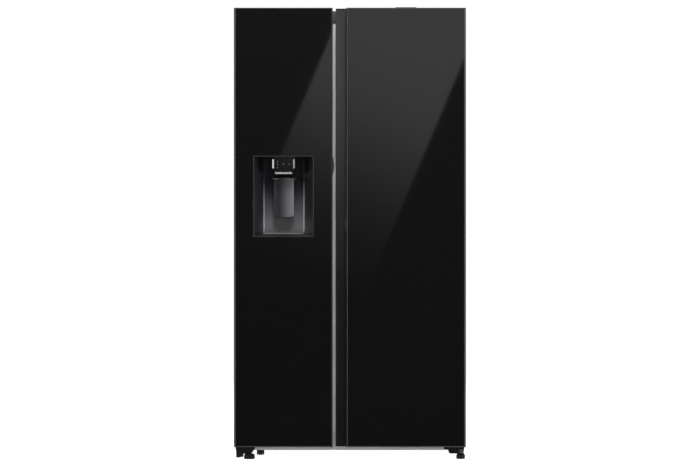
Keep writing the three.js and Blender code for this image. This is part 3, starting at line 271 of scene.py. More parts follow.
UPRIGHT = {"Stretch": (420.0, 420.0, 6.0)}
LEVEL = {"Stretch": (6.0, 420.0, 420.0)}
F = {
    "black_glass": finish("Black tempered glass", tint(17, 17, 17), 0.035, shade=0.1, vary=0.03, bump=0.0),
    "frame": finish("Grey painted profile", tint(70, 70, 70), 0.42, kind=BRUSHED, extra=UPRIGHT, bump=0.03),
    "cap": finish("Grey moulded end cap", tint(62, 62, 63), 0.45, bump=0.05),
    "edge": finish("Dark door edge", tint(80, 80, 82), 0.35, bump=0.04),
    # Painted reflection: the grip plastic is painted lighter towards the top, from z 600 to 1500 mm.
    "grip": finish(
        "Dark grip plastic with painted reflection", tint(28, 28, 31), 0.24, vary=0.05, bump=0.01,
        grade=(tint(55, 55, 58), Z, 600, 1500),
    ),
    "cabinet": finish(
        "Stippled cabinet paint", tint(58, 58, 60), 0.45, extra={"Grain": 620.0}, bump=0.22, dust=0.12
    ),
    "bright": finish(
        "Brushed bright steel", tint(248, 248, 248), 0.35, kind=BRUSHED, extra=UPRIGHT, bump=0.04,
        Metallic=0.1,
    ),
    "beam": finish(
        "Brushed bright beam", tint(228, 228, 228), 0.4, kind=BRUSHED, extra=LEVEL, bump=0.04, Metallic=0.2
    ),
    # Painted reflection: the first stands for bright chrome as a light diffuse sheen; the second is its
    # painted shaded copy on the right panel strip, and also the dull finish of the right foot lock bars.
    "satin": finish("Painted chrome sheen trim", tint(190, 190, 192), 0.3, vary=0.06, bump=0.02),
    "dull_and_painted_shade": finish("Dull trim and painted shaded chrome", tint(140, 140, 142), 0.35, vary=0.06, bump=0.02),
    # Painted shadow: a near-black strip where the groove beside the refrigerator door's trim lies in shade.
    "seam_and_painted_shadow": finish("Black edge seam", tint(5, 5, 6), 0.7, bump=0.03, Specular_IOR_Level=0.1),
    "line": finish("Grey tray line", tint(98, 98, 101), 0.35, bump=0.03),
    "chrome": finish("Bright chrome", tint(226, 227, 229), 0.1, vary=0.04, bump=0.0, Metallic=1.0),
    "roof": finish(
        "Dark roof plastic", tint(74, 74, 76), 0.5, extra={"Grain": 1400.0}, bump=0.14, dust=0.2
    ),
    "shell": finish("Dark dispenser shell", tint(35, 35, 39), 0.3, vary=0.06, bump=0.03),
    # Painted light: the recess panel is painted darker towards the top, from z 895 to 1100 mm, as painted
    # shade under the recess's ceiling, and lighter at the bottom as a painted reflection of the floor.
    "recess": finish(
        "Grey recess panel with painted shade", tint(92, 92, 94), 0.3, vary=0.06, bump=0.02,
        grade=(tint(20, 19, 24), Z, 895, 1100),
    ),
    # Painted highlight: the beads stand for bright edge highlights, painted darker towards the top, from z
    # 940 to 1150 mm, as painted shade.
    "bead": finish(
        "Recess bead with painted highlight", tint(146, 146, 149), 0.3, vary=0.06, bump=0.02,
        grade=(tint(34, 33, 38), Z, 940, 1150),
    ),
    "panel": finish("Glossy control face", tint(16, 16, 18), 0.08, vary=0.03, bump=0.0),
    "rim": finish("Grey dispenser rim", tint(44, 44, 46), 0.35, bump=0.02),
    # Painted light: the pad and its ribs are painted lighter towards the right, from x -284 to -204 mm, as
    # light falling from the right.
    "pad": finish(
        "Lever pad plastic with painted light", tint(39, 38, 42), 0.33, vary=0.08, bump=0.05,
        grade=(tint(118, 117, 122), X, -284, -204),
    ),
    "black": finish("Black moulded plastic", tint(38, 38, 40), 0.5, extra={"Grain": 1500.0}, bump=0.12),
    "rubber": finish("Black foot rubber", tint(28, 28, 30), 0.7, extra={"Grain": 1100.0}, bump=0.2),
    "gasket": finish("Grey gasket vinyl", tint(128, 128, 131), 0.65, bump=0.12),
    "liner": finish(
        "White liner plastic", tint(236, 238, 240), 0.3, shade=0.02, bump=0.02, Coat_Weight=0.15
    ),
    "trim": finish("White shelf trim", tint(222, 224, 227), 0.35, shade=0.03, bump=0.05),
    "foam": finish("Rigid foam", tint(226, 214, 176), 0.9, extra={"Grain": 300.0}, bump=0.5, shade=0.12),
    "hinge": finish(
        "Black hinge steel", tint(38, 38, 40), 0.42, extra={"Grain": 800.0}, bump=0.1, Metallic=0.3
    ),
    "compressor": finish("Black enamelled steel", tint(26, 26, 28), 0.32, bump=0.08, dust=0.25),
    "coil": finish("Black coil enamel", tint(40, 41, 43), 0.5, bump=0.15, dust=0.35),
    "fin": finish(
        "Bare aluminium", tint(205, 207, 210), 0.38, kind=BRUSHED, extra=UPRIGHT, bump=0.06, Metallic=1.0
    ),
    "zinc": finish(
        "Galvanised sheet", tint(176, 178, 180), 0.42, kind=BRUSHED, extra=LEVEL, shade=0.12, bump=0.05,
        dust=0.15, Metallic=0.85,
    ),
    "copper": finish("Copper tube", tint(184, 115, 76), 0.3, shade=0.18, bump=0.05, Metallic=1.0),
    "steel": finish("Plated screw steel", tint(186, 186, 184), 0.3, shade=0.1, bump=0.05, Metallic=1.0),
    "clear": finish(
        "Clear bin plastic", tint(232, 240, 243), 0.08, shade=0.02, vary=0.04, bump=0.01,
        Transmission_Weight=0.92, IOR=1.45,
    ),
    "glass": finish(
        "Clear shelf glass", tint(226, 240, 236), 0.03, shade=0.02, vary=0.02, bump=0.0,
        Transmission_Weight=0.96, IOR=1.5,
    ),
    # Painted glow: the printed icons give a faint light though they are no lamp.
    "icon": lit("Printed icon with painted glow", tint(112, 113, 117), 0.08),
    "lamp": lit("Warm white lamp window", tint(255, 250, 240), 2.4),
}


# ---------------------------------------------------------------- making pieces

def corners(name):
    """A node's lowest and highest corners in millimetres."""
    low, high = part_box(name)
    return [v / MM for v in low], [v / MM for v in high]


def to_mesh(obj):
    """An object with its modifiers turned into a plain mesh."""
    evaluated = obj.evaluated_get(bpy.context.evaluated_depsgraph_get())
    made = bpy.data.meshes.new_from_object(evaluated)
    obj.modifiers.clear()
    old = obj.data
    obj.data = made
    if old.users == 0:
        bpy.data.batch_remove([old])
    return obj


def show(name, mesh, materials):
    obj = bpy.data.objects.new(name, mesh)
    bpy.context.scene.collection.objects.link(obj)
    for material in materials:
        mesh.materials.append(F[material])
    return obj


def rounded(obj, radius, segments, weighted=False):
    """Rounds an object's sharp edges, and keeps its flat faces flat."""
    made = obj.modifiers.new("round", "BEVEL")
    made.width = radius * MM
    made.segments = segments
    made.limit_method = "WEIGHT" if weighted else "ANGLE"
    made.angle_limit = ROUND_ABOVE
    made.harden_normals = True
    to_mesh(obj)


def settled(obj, body, replaces=()):
    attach(obj, body)
    if replaces:
        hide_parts(*replaces)
    return obj


def smooth_mesh(name, bm):
    """A bmesh in millimetres as a mesh in metres, smooth but for its sharp edges."""
    bmesh.ops.recalc_face_normals(bm, faces=bm.faces)
    bmesh.ops.scale(bm, vec=(MM, MM, MM), verts=bm.verts)
    mesh = bpy.data.meshes.new(name)
    bm.to_mesh(mesh)
    bm.free()
    mesh.shade_smooth()
    mesh.set_sharp_from_angle(angle=SHARP_PIECE)
    return mesh


def piece(name, bm, material, body, radius=0.0, segments=2, replaces=()):
    """A bmesh in millimetres as a finished piece that rides on a body."""
    bmesh.ops.remove_doubles(bm, verts=bm.verts, dist=MERGE)
    obj = show(name, smooth_mesh(name, bm), [material])
    if radius:
        rounded(obj, radius, segments)
    return settled(obj, body, replaces)


def box(bm, x, y, z):
    """A box between three spans."""
    size = (x[1] - x[0], y[1] - y[0], z[1] - z[0])
    middle = ((x[0] + x[1]) / 2, (y[0] + y[1]) / 2, (z[0] + z[1]) / 2)
    place = Matrix.Translation(middle) @ Matrix.Diagonal((*size, 1))
    bmesh.ops.create_cube(bm, size=1.0, matrix=place)


def boxes(*spans):
    bm = bmesh.new()
    for x, y, z in spans:
        box(bm, x, y, z)
    return bm


def outline(points, span):
    """A flat outline of (x, z) points, pushed along y over a span."""
    bm = bmesh.new()
    ends = [[bm.verts.new((x, y, z)) for x, z in points] for y in span]
    count = len(points)
    bm.faces.new(ends[0])
    bm.faces.new(ends[1])
    for i in range(count):
        j = (i + 1) % count
        bm.faces.new((ends[0][i], ends[0][j], ends[1][j], ends[1][i]))
    return bm


def turned(bm, profile, axis, centre, sides):
    """A closed profile of (radius, place) points turned about an axis through a point."""
    turn = {"x": Matrix.Rotation(math.pi / 2, 3, "Y"), "y": Matrix.Rotation(-math.pi / 2, 3, "X")}
    place = turn.get(axis, Matrix.Identity(3))
    rings = []
    for radius, along in profile:
        count = sides if radius > 0 else 1
        angles = [2 * math.pi * i / sides for i in range(count)]
        ring = [place @ Vector((radius * math.cos(a), radius * math.sin(a), along)) for a in angles]
        rings.append([bm.verts.new(Vector(centre) + v) for v in ring])
    for one, two in zip(rings, rings[1:]):
        for i in range(sides):
            j = (i + 1) % sides
            corner = [one[i % len(one)], one[j % len(one)], two[j % len(two)], two[i % len(two)]]
            unique = list(dict.fromkeys(corner))
            if len(unique) > 2:
                bm.faces.new(unique)
    return bm


def disc(bm, axis, centre, radius, span, edge=0.5, sides=24):
    """A round plug with softened rims."""
    low, high = span
    profile = [(0, low), (radius - edge, low), (radius, low + edge)]
    profile += [(radius, high - edge), (radius - edge, high), (0, high)]
    return turned(bm, profile, axis, centre, sides)


def tube(name, points, radius, material, body):
    """A round tube along a smooth path."""
    curve = bpy.data.curves.new(name, "CURVE")
    curve.dimensions = "3D"
    curve.bevel_depth = radius * MM
    curve.bevel_resolution = 2
    curve.use_fill_caps = True
    spline = curve.splines.new("BEZIER")
    spline.bezier_points.add(len(points) - 1)
    for knot, point in zip(spline.bezier_points, points):
        knot.co = Vector(point) * MM
        knot.handle_left_type = knot.handle_right_type = "AUTO"
    spline.resolution_u = 6
    source = bpy.data.objects.new(name + "_path", curve)
    bpy.context.scene.collection.objects.link(source)
    evaluated = source.evaluated_get(bpy.context.evaluated_depsgraph_get())
    mesh = bpy.data.meshes.new_from_object(evaluated)
    bpy.data.objects.remove(source)
    mesh.shade_smooth()
    mesh.materials.clear()
    return settled(show(name, mesh, [material]), body)


def painted_faces(bm, paint):
    """Gives faces the materials that `paint` names after the first one, and lists those materials."""
    extra = []
    for face in bm.faces:
        chosen = paint(face.calc_center_median() / MM, face.normal)
        if chosen and chosen not in extra:
            extra.append(chosen)
        face.material_index = extra.index(chosen) + 1 if chosen else 0
    return extra


def picked_edges(bm, pick):
    """Marks the edges that `pick` chooses, to be rounded."""
    weights = bm.edges.layers.float.new("bevel_weight_edge")
    for edge in bm.edges:
        start, end = edge.verts[0].co, edge.verts[1].co
        middle = (start + end) / 2 / MM
        along = end - start
        if len(edge.link_faces) == 2 and edge.calc_face_angle(0) > CORNER and pick(middle, along / MM):
            edge[weights] = 1.0


def softened(node, material, radius=1.0, segments=2, pick=None, paint=None, splits=()):
    """A copy of a CAD node with rounded edges, which stands for it. `pick` chooses the edges to round,
    `paint` gives a face another material, and `splits` parts the faces first at places along x."""
    source = frame["nodes"][node]
    mesh = source.data.copy()
    bm = bmesh.new()
    bm.from_mesh(mesh)
    bmesh.ops.remove_doubles(bm, verts=bm.verts, dist=NODE_MERGE)
    bmesh.ops.dissolve_limit(bm, angle_limit=COPLANAR, verts=bm.verts, edges=bm.edges)
    for x in splits:
        parts = [*bm.verts, *bm.edges, *bm.faces]
        bmesh.ops.bisect_plane(bm, geom=parts, dist=1e-7, plane_co=(x * MM, 0, 0), plane_no=X)
    bm.normal_update()
    extra = painted_faces(bm, paint) if paint else []
    if pick:
        picked_edges(bm, pick)
    mesh.materials.clear()
    bm.to_mesh(mesh)
    bm.free()
    mesh.shade_smooth()
    mesh.set_sharp_from_angle(angle=SHARP_NODE)
    obj = show(node + "_finished", mesh, [material, *extra])
    if radius:
        rounded(obj, radius, segments, weighted=bool(pick))
    body = body_of(source)[0]
    return settled(obj, body, [node])


def coated(node, material):
    """A CAD node kept as it is, with a finish."""
    mesh = frame["nodes"][node].data
    mesh.materials.clear()
    mesh.materials.append(F[material])


# ---------------------------------------------------------------- repeated pieces, by geometry nodes

GEOMETRY = "NodeSocketGeometry"


def copy_tree(name, sizes):
    """A geometry tree with inputs for the copied piece, what places it, and its finish."""
    tree = bpy.data.node_groups.new(name, "GeometryNodeTree")
    sockets = [("Geometry", GEOMETRY), ("Copy", "NodeSocketObject"), *sizes]
    for label, kind in [*sockets, ("Finish", "NodeSocketMaterial")]:
        tree.interface.new_socket(name=label, in_out="INPUT", socket_type=kind)
    tree.interface.new_socket(name="Geometry", in_out="OUTPUT", socket_type=GEOMETRY)
    return tree, tree.nodes.new("NodeGroupInput").outputs


def real_copies(tree, given, places):
    """Ends a tree: the copied piece at its places, made real and painted."""
    source = add(tree, "GeometryNodeObjectInfo", None, {"Object": given["Copy"]}).outputs["Geometry"]
    placed = add(tree, "GeometryNodeInstanceOnPoints", None, {"Instance": source, **places}).outputs[0]
    real = add(tree, "GeometryNodeRealizeInstances", None, {0: placed}).outputs[0]
    painted = add(tree, "GeometryNodeSetMaterial", None, {"Geometry": real, "Material": given["Finish"]})
    out = tree.nodes.new("NodeGroupOutput")
    tree.links.new(painted.outputs[0], out.inputs[0])
    return tree


def row_tree():
    """Copies of a piece in a straight row."""
    sizes = [("Count", "NodeSocketInt"), ("Start", VECTOR), ("Step", VECTOR)]
    tree, given = copy_tree("Row of copies", sizes)
    line = add(
        tree, "GeometryNodeMeshLine", {"mode": "OFFSET"},
        {"Count": given["Count"], "Start Location": given["Start"], "Offset": given["Step"]},
    )
    return real_copies(tree, given, {"Points": line.outputs[0]})


def points_tree():
    """Copies of a piece on a mesh's points, each facing the way its point says, with a seeded spin."""
    tree, given = copy_tree("Copies on points", [("Seed", "NodeSocketInt")])
    facing = add(tree, "GeometryNodeInputNamedAttribute", {"data_type": "FLOAT_VECTOR"}, {"Name": "facing"})
    size = add(tree, "GeometryNodeInputNamedAttribute", {"data_type": "FLOAT"}, {"Name": "size"})
    aligned = add(tree, "FunctionNodeAlignRotationToVector", {"axis": "Z"}, {"Vector": facing.outputs[0]})
    spin = add(tree, "FunctionNodeRandomValue", {"data_type": "FLOAT"}, {"Seed": given["Seed"]})
    spin.inputs[3].default_value = math.tau
    turn = add(tree, "FunctionNodeAxisAngleToRotation", None, {"Axis": Z, "Angle": spin.outputs[1]})
    both = add(
        tree, "FunctionNodeRotateRotation", {"rotation_space": "LOCAL"},
        {"Rotation": aligned.outputs[0], "Rotate By": turn.outputs[0]},
    )
    places = {"Points": given["Geometry"], "Rotation": both.outputs[0], "Scale": size.outputs[0]}
    return real_copies(tree, given, places)


ROW, ON_POINTS = row_tree(), points_tree()


def grown_by(tree, base, values):
    """Runs a geometry node tree on an object, and leaves a plain mesh."""
    made = base.modifiers.new("copies", "NODES")
    made.node_group = tree
    ids = {s.name: s.identifier for s in tree.interface.items_tree if s.in_out == "INPUT"}
    for label, value in values.items():
        made[ids[label]] = value
    base.update_tag()
    return to_mesh(base)


def seed_object(name, bm):
    """The small object that a tree copies, in metres, out of sight."""
    return show(name, smooth_mesh(name, bm), [])


def row(name, bm, count, start, step, material, body):
    """`count` copies of a small shape in a row from a start, a step apart."""
    source = seed_object(name + "_one", bm)
    base = show(name, bpy.data.meshes.new(name), [])
    values = {
        "Copy": source, "Count": count, "Start": [v * MM for v in start],
        "Step": [v * MM for v in step], "Finish": F[material],
    }
    grown_by(ROW, base, values)
    bpy.data.objects.remove(source)
    return settled(base, body)


def screw_head():
    """A pan head with a cross recess, facing +Z, 8 mm across."""
    bm = bmesh.new()
    turned(bm, [(0, -0.6), (4, -0.6), (4, 0.8), (3.4, 1.9), (2.2, 2.4), (0, 2.5)], "z", (0, 0, 0), 16)
    for wide, tall in ((2.6, 0.5), (0.5, 2.6)):
        box(bm, (-wide, wide), (-tall, tall), (2.3, 2.56))
    return bm


def screws(name, places, body):
    """Screw heads at (point, facing, size) places."""
    source = seed_object(name + "_one", screw_head())
    mesh = bpy.data.meshes.new(name)
    mesh.from_pydata([[v * MM for v in point] for point, _, _ in places], [], [])
    mesh.attributes.new("facing", "FLOAT_VECTOR", "POINT")
    mesh.attributes.new("size", "FLOAT", "POINT")
    for i, (_, way, scale) in enumerate(places):
        mesh.attributes["facing"].data[i].vector = way
        mesh.attributes["size"].data[i].value = scale
    base = show(name, mesh, [])
    grown_by(ON_POINTS, base, {"Copy": source, "Seed": SPIN_SEED, "Finish": F["steel"]})
    bpy.data.objects.remove(source)
    return settled(base, body)


# ---------------------------------------------------------------- places shared by the pieces

FRONT = corners("freezer_door_glass")[0][1]
FREEZER_EDGE = corners("freezer_door_frame")[1][0]
FRIDGE_FRAME = corners("fridge_door_frame")
FRIDGE_EDGE = corners("fridge_door_glass")[0][0]
INNER_TRIM = 8  # the width of the freezer door's black inner trim
TRIM_SHADOW = 2.4  # how far the refrigerator door's inner trim stands out beyond the painted shadow line at its edge
HOUSING = corners("dispenser_housing")
RECESS_BACK = HOUSING[1][1] - 2.5
DISPENSER_X = (HOUSING[0][0] + HOUSING[1][0]) / 2
PANEL = corners("dispenser_control_panel")
LEVER = corners("dispenser_lever")
FREEZER_ROOM = corners("freezer_liner")
FRIDGE_ROOM = corners("fridge_liner")
FACES_FRONT = 0.9  # how much of a normal lies along y on a face that looks forwards or back
LINER = 2.5  # how thick the liners' walls are


# ---------------------------------------------------------------- cabinet

def beam_paint(middle, _):
    """The black ears that hold the front roller, below the bright beam."""
    return "hinge" if middle.z < corners("front_roller_left")[1][2] + 1 else None


def cabinet_sheets():
    coated("cabinet_wrapper", "cabinet")
    for node in ("cabinet_foam", "freezer_door_foam", "fridge_door_foam"):
        coated(node, "foam")
    coated("middle_post_strip", "bright")
    softened("front_bottom_beam", "beam", 0.4, paint=beam_paint)
    coated("rear_panel", "zinc")
    coated("base_plate", "zinc")
    softened("top_cover", "roof", 0.9)
    softened("control_box_cover", "roof", 2.5, 3)
    for side in ("left", "right"):
        softened("upper_hinge_" + side, "hinge", 0.8)
        softened("lower_hinge_" + side, "hinge", 0.8)
        softened("levelling_foot_" + side, "rubber", 0.6)
        softened("rear_roller_" + side, "black", 1.0)
    softened("front_roller_left", "black", 1.0)


def room_edge(room):
    """Chooses the inner corners of a compartment's liner."""
    (x0, _, z0), (x1, y1, z1) = room
    near, shortest = 0.6, 60
    walls = [(0, x0 + LINER), (0, x1 - LINER), (1, y1 - LINER), (2, z0 + LINER), (2, z1 - LINER)]

    def pick(middle, along):
        on = [abs(middle[axis] - place) < near for axis, place in walls]
        return sum(on) >= 2 and along.length > shortest

    return pick


def liners():
    softened("freezer_liner", "liner", 9, 4, pick=room_edge(FREEZER_ROOM))
    softened("fridge_liner", "liner", 9, 4, pick=room_edge(FRIDGE_ROOM))
    softened("evaporator_cover", "liner", 0.9)
    softened("fridge_air_duct", "liner", 2.0, 3)
    softened("ice_maker", "trim", 1.6, 3)


FRONT_TRIM, REAR_TRIM = 13, 10.5  # how deep a shelf's white trims are


def white_ends(span):
    """Paints a shelf's front and rear trims."""
    def paint(middle, _):
        return "trim" if middle.y < span[0] + FRONT_TRIM or middle.y > span[1] - REAR_TRIM else None
    return paint


def shelves():
    names = ["crisper_cover", "fridge_shelf_1", "fridge_shelf_2", "fridge_shelf_3"]
    names += ["freezer_shelf_1", "freezer_shelf_2"]
    for name in names:
        low, high = corners(name)
        softened(name, "glass", 0.9, paint=white_ends((low[1], high[1])))
        lip = boxes(((low[0] + 4, high[0] - 4), (low[1] - 1.6, low[1] + 0.5), (low[2] + 9, high[2] - 1)))
        piece(name + "_bright_strip", lip, "chrome", "cabinet", 0.7)


def drawers():
    handle = 57  # half its width
    for name in ("freezer_drawer_lower", "freezer_drawer_upper", "crisper_lower", "crisper_upper"):
        low, high = corners(name)
        softened(name, "clear", 1.2, 3)
        middle = (low[0] + high[0]) / 2
        rail = bmesh.new()
        y = (low[1] - 3, low[1] + 1)
        for x in ((low[0] + 3, middle - handle + 1), (middle + handle - 1, high[0] - 3)):
            box(rail, x, y, (high[2] - 22, high[2] - 1))
        box(rail, (middle - handle, middle + handle), y, (high[2] - 32, high[2] - 25))
        piece(name + "_front_trim", rail, "trim", name, 1.2, 3)


def bins():
    names = [f"freezer_bin_{i}" for i in (1, 2)] + [f"fridge_bin_{i}" for i in (1, 2, 3, 4)]
    for name in [*names, "ice_bucket"]:
        low, high = corners(name)
        softened(name, "clear", 1.2, 3)
        top = (high[2] - 12, high[2] - 1) if name == "ice_bucket" else (high[2] - 31, high[2] - 22)
        rail = boxes(((low[0] + 2, high[0] - 2), (high[1] - 3.6, high[1] + 1), top))
        body = "fridge_door" if name.startswith("fridge") else "freezer_door"
        piece(name + "_front_rail", rail, "chrome", body, 0.8)


# ---------------------------------------------------------------- doors

def frame_paint(middle, _):
    """The frame's end caps, its dark inner trims, a painted shadow line beside the refrigerator door's
    trim, and the edges behind the glass.
    """
    cap, behind_glass = 12, FRONT + 0.5
    if FREEZER_EDGE - INNER_TRIM < middle.x < FRIDGE_EDGE - TRIM_SHADOW:
        # Past the freezer door's black trim, the faces up to the refrigerator door's trim get the painted
        # shadow.
        return "black" if middle.x < FREEZER_EDGE + 1 else "seam_and_painted_shadow"
    if middle.z > FRIDGE_FRAME[1][2] - cap or middle.z < FRIDGE_FRAME[0][2] + cap:
        return "cap"
    if middle.y > behind_glass or FREEZER_EDGE < middle.x < FRIDGE_EDGE + 1:
        return "edge"
    return None


def doors():
    for side in ("freezer", "fridge"):
        edges = (FREEZER_EDGE - INNER_TRIM, FRIDGE_EDGE - TRIM_SHADOW, FRIDGE_EDGE)
        softened(side + "_door_frame", "frame", 0.7, paint=frame_paint, splits=edges)
        coated(side + "_door_glass", "black_glass")
        softened(side + "_door_liner", "liner", 1.2, 3)
        softened(side + "_gasket", "gasket", 1.4, 3)
    softened("handle_channel", "grip", 0.5)


def finger_mark(name, edge_x, reach, z, body):
    """A small lens-shaped swelling on a door's edge, felt by the fingers that pull it."""
    low, high = z
    steps = 20
    points = [(edge_x, low)]
    for i in range(1, steps):
        t = i / steps
        points.append((edge_x + reach * math.sin(math.pi * t), low + t * (high - low)))
    points.append((edge_x, high))
    piece(name, outline(points, (FRONT + 0.6, FRONT + 11)), "rim", body, 1.0, 3)


def finger_marks():
    finger_mark("fridge_finger_mark", FRIDGE_EDGE - 5.0, -4.8, (899, 960), "fridge_door")
    finger_mark("freezer_finger_mark", FREEZER_EDGE - 0.2, 5.6, (1117, 1198), "freezer_door")


# ---------------------------------------------------------------- dispenser

def housing_paint(middle, normal):
    """The housing's thin front rim and the panel at the recess's back, which carries painted shade at the
    top and a painted reflection at the bottom.
    """
    near, deep = 0.5, 60
    if abs(normal.y) < FACES_FRONT:
        return None
    if middle.y < FRONT + near:
        return "rim"
    return "recess" if FRONT + deep < middle.y < RECESS_BACK + near else None


def panel_paint(middle, normal):
    """The glossy front of the control panel."""
    return "panel" if abs(normal.y) > FACES_FRONT and middle.y < PANEL[0][1] + 3 else None


def painted_highlight_beads():
    """Beads down both edges of the recess's back panel, bright as painted highlights and darker towards the
    top as painted shade.
    """
    apart, half = 79, 2.6
    y = (RECESS_BACK - 2.4, RECESS_BACK + 0.4)
    z = (HOUSING[0][2] + 18, HOUSING[1][2] - 8)
    bead = boxes(*[((x - half, x + half), y, z) for x in (DISPENSER_X - apart, DISPENSER_X + apart)])
    piece("recess_edge_beads", bead, "bead", "freezer_door", 1.1, 3)


def pad_sheet(bm, columns, rows, back):
    """The corners of the lever pad's face or back, row by row, with rounded ends."""
    (x0, y0, z0), (x1, y1, z1) = LEVER
    half, tall, corner, swelling, skin = (x1 - x0) / 2 - 5.5, z1 - z0, 11.0, 6.4, 0.4
    sheet = []
    for j in range(rows + 1):
        height = (0.5 - 0.5 * math.cos(math.pi * (j / rows))) * tall
        from_end = min(height, tall - height)
        pull = 0.0
        if from_end < corner:
            pull = corner - math.sqrt(max(0.0, corner ** 2 - (corner - from_end) ** 2))
        line = []
        for i in range(columns + 1):
            u = 2 * i / columns - 1
            y = y1 - skin if back else y0 + skin + swelling * u * u
            line.append(bm.verts.new((DISPENSER_X + u * (half - pull), y, z0 + height)))
        sheet.append(line)
    return sheet


def lever_pad():
    """A pad with a swelling front and rounded corners, on its pivot rod."""
    columns, rows = 20, 28
    bm = bmesh.new()
    face, rear = [pad_sheet(bm, columns, rows, back) for back in (False, True)]
    for sheet in (face, rear):
        for j in range(rows):
            for i in range(columns):
                bm.faces.new((sheet[j][i], sheet[j][i + 1], sheet[j + 1][i + 1], sheet[j + 1][i]))
    loop = [(0, i) for i in range(columns)] + [(j, columns) for j in range(rows)]
    loop += [(rows, columns - i) for i in range(columns)] + [(rows - j, 0) for j in range(rows)]
    for (j, i), (l, k) in zip(loop, loop[1:] + loop[:1]):
        bm.faces.new((face[j][i], face[l][k], rear[l][k], rear[j][i]))
    piece("lever_pad", bm, "pad", "dispenser_lever", 0.9, 3, ["dispenser_lever"])
    (x0, y0, _), (x1, y1, z1) = LEVER
    pivot = disc(bmesh.new(), "x", (0, (y0 + y1) / 2, z1 - 4), 2.9, (x0 + 0.2, x1 - 0.2))
    piece("lever_pivot_rod", pivot, "steel", "dispenser_lever")


def lever_ribs():
    (x0, y0, z0), (x1, _, _) = LEVER
    rib = boxes(((x0 + 26, x1 - 26), (y0 + 3.4, y0 + 6.2), (z0 + 18, z0 + 20.2)))
    row("lever_grip_ribs", rib, 5, (0, 0, 0), (0, 0, 6.5), "pad", "dispenser_lever")


def control_face():
    (x0, y0, z0), (x1, _, z1) = PANEL
    softened("dispenser_control_panel", "shell", 0.8, paint=panel_paint)
    skin = (y0 - 0.7, y0 + 0.6)
    # The two strips are one chrome part: the left is painted lighter as painted light, the right darker as
    # painted shade.
    for side, x, material in (("left", (x0 + 0.4, x0 + 7), "satin"), ("right", (x1 - 7, x1 - 0.4), "dull_and_painted_shade")):
        strip = boxes((x, skin, (z1 - 45.5, z1 - 10.5)))
        piece(f"panel_{side}_strip", strip, material, "freezer_door", 0.6)
    line = (y0 - 0.4, y0 + 0.4)
    lines = boxes(
        ((x0 + 2, x1 - 2), line, (z1 - 2.4, z1 - 1.2)), ((x0 + 12, x1 - 12), line, (z0 + 3.2, z0 + 4.6))
    )
    piece("panel_border_lines", lines, "rim", "freezer_door", 0.2)
    marks = bmesh.new()
    for dx, z in ((-23.6, 1173.6), (-23.6, 1162), (-23.6, 1150.4), (0, 1164.6), (22.8, 1163.4)):
        disc(marks, "y", (DISPENSER_X + dx, 0, z), 2.1, (y0 - 0.25, y0 + 0.4), 0.15, 20)
    piece("panel_touch_marks", marks, "icon", "freezer_door")


def chute_bar():
    """The bright bar under the control panel, on two short legs."""
    y = (PANEL[0][1] + 3, PANEL[0][1] + 10)
    z = (PANEL[0][2] - 2.6, PANEL[0][2] + 6.2)
    half = 33
    bar = boxes(((DISPENSER_X - half, DISPENSER_X + half), y, z))
    # The bar's chrome is painted as a light diffuse sheen: a painted reflection.
    piece("chute_bright_bar", bar, "satin", "freezer_door", 2.2, 4)
    leg_y, leg_z = (y[0] + 1, y[1] + 0.5), (z[1] - 2, z[1] + 8)
    places = (DISPENSER_X - half + 3, DISPENSER_X + half - 3)
    legs = boxes(*[((x - 2, x + 2), leg_y, leg_z) for x in places])
    piece("chute_bar_legs", legs, "black", "freezer_door", 0.5)


def drip_tray():
    """A level tray with a slatted cover in the recess's floor."""
    z = HOUSING[0][2] + 15.7
    y = (FRONT + 5, FRONT + 73)
    half = 80
    x = (DISPENSER_X - half, DISPENSER_X + half)
    wall = 3
    ring = boxes(
        (x, (y[0], y[0] + wall), (z - 5, z)), (x, (y[1] - wall, y[1]), (z - 3, z)),
        ((x[0], x[0] + wall), y, (z - 4, z)), ((x[1] - wall, x[1]), y, (z - 4, z)),
    )
    piece("drip_tray_rim", ring, "line", "freezer_door", 0.6)
    count, step = 22, (7.0, 0, 0)
    slat = boxes(((x[0] + wall + 2, x[0] + wall + 5), (y[0] + wall, y[1] - wall), (z - 3, z - 0.6)))
    row("drip_tray_slats", slat, count, (0, 0, 0), step, "shell", "freezer_door")


def dispenser():
    softened("dispenser_housing", "shell", 0.8, paint=housing_paint)
    softened("ice_chute_flap", "black", 0.6)
    painted_highlight_beads()
    half, step = 44, (0, 0, 6.5)
    back = (RECESS_BACK - 1.2, RECESS_BACK + 0.4)
    rib = boxes(((DISPENSER_X - half, DISPENSER_X + half), back, (929, 930.8)))
    row("recess_splash_ribs", rib, 4, (0, 0, 0), step, "line", "freezer_door")
    control_face()
    chute_bar()
    lever_pad()
    lever_ribs()
    drip_tray()


# ---------------------------------------------------------------- machine bay and cooling

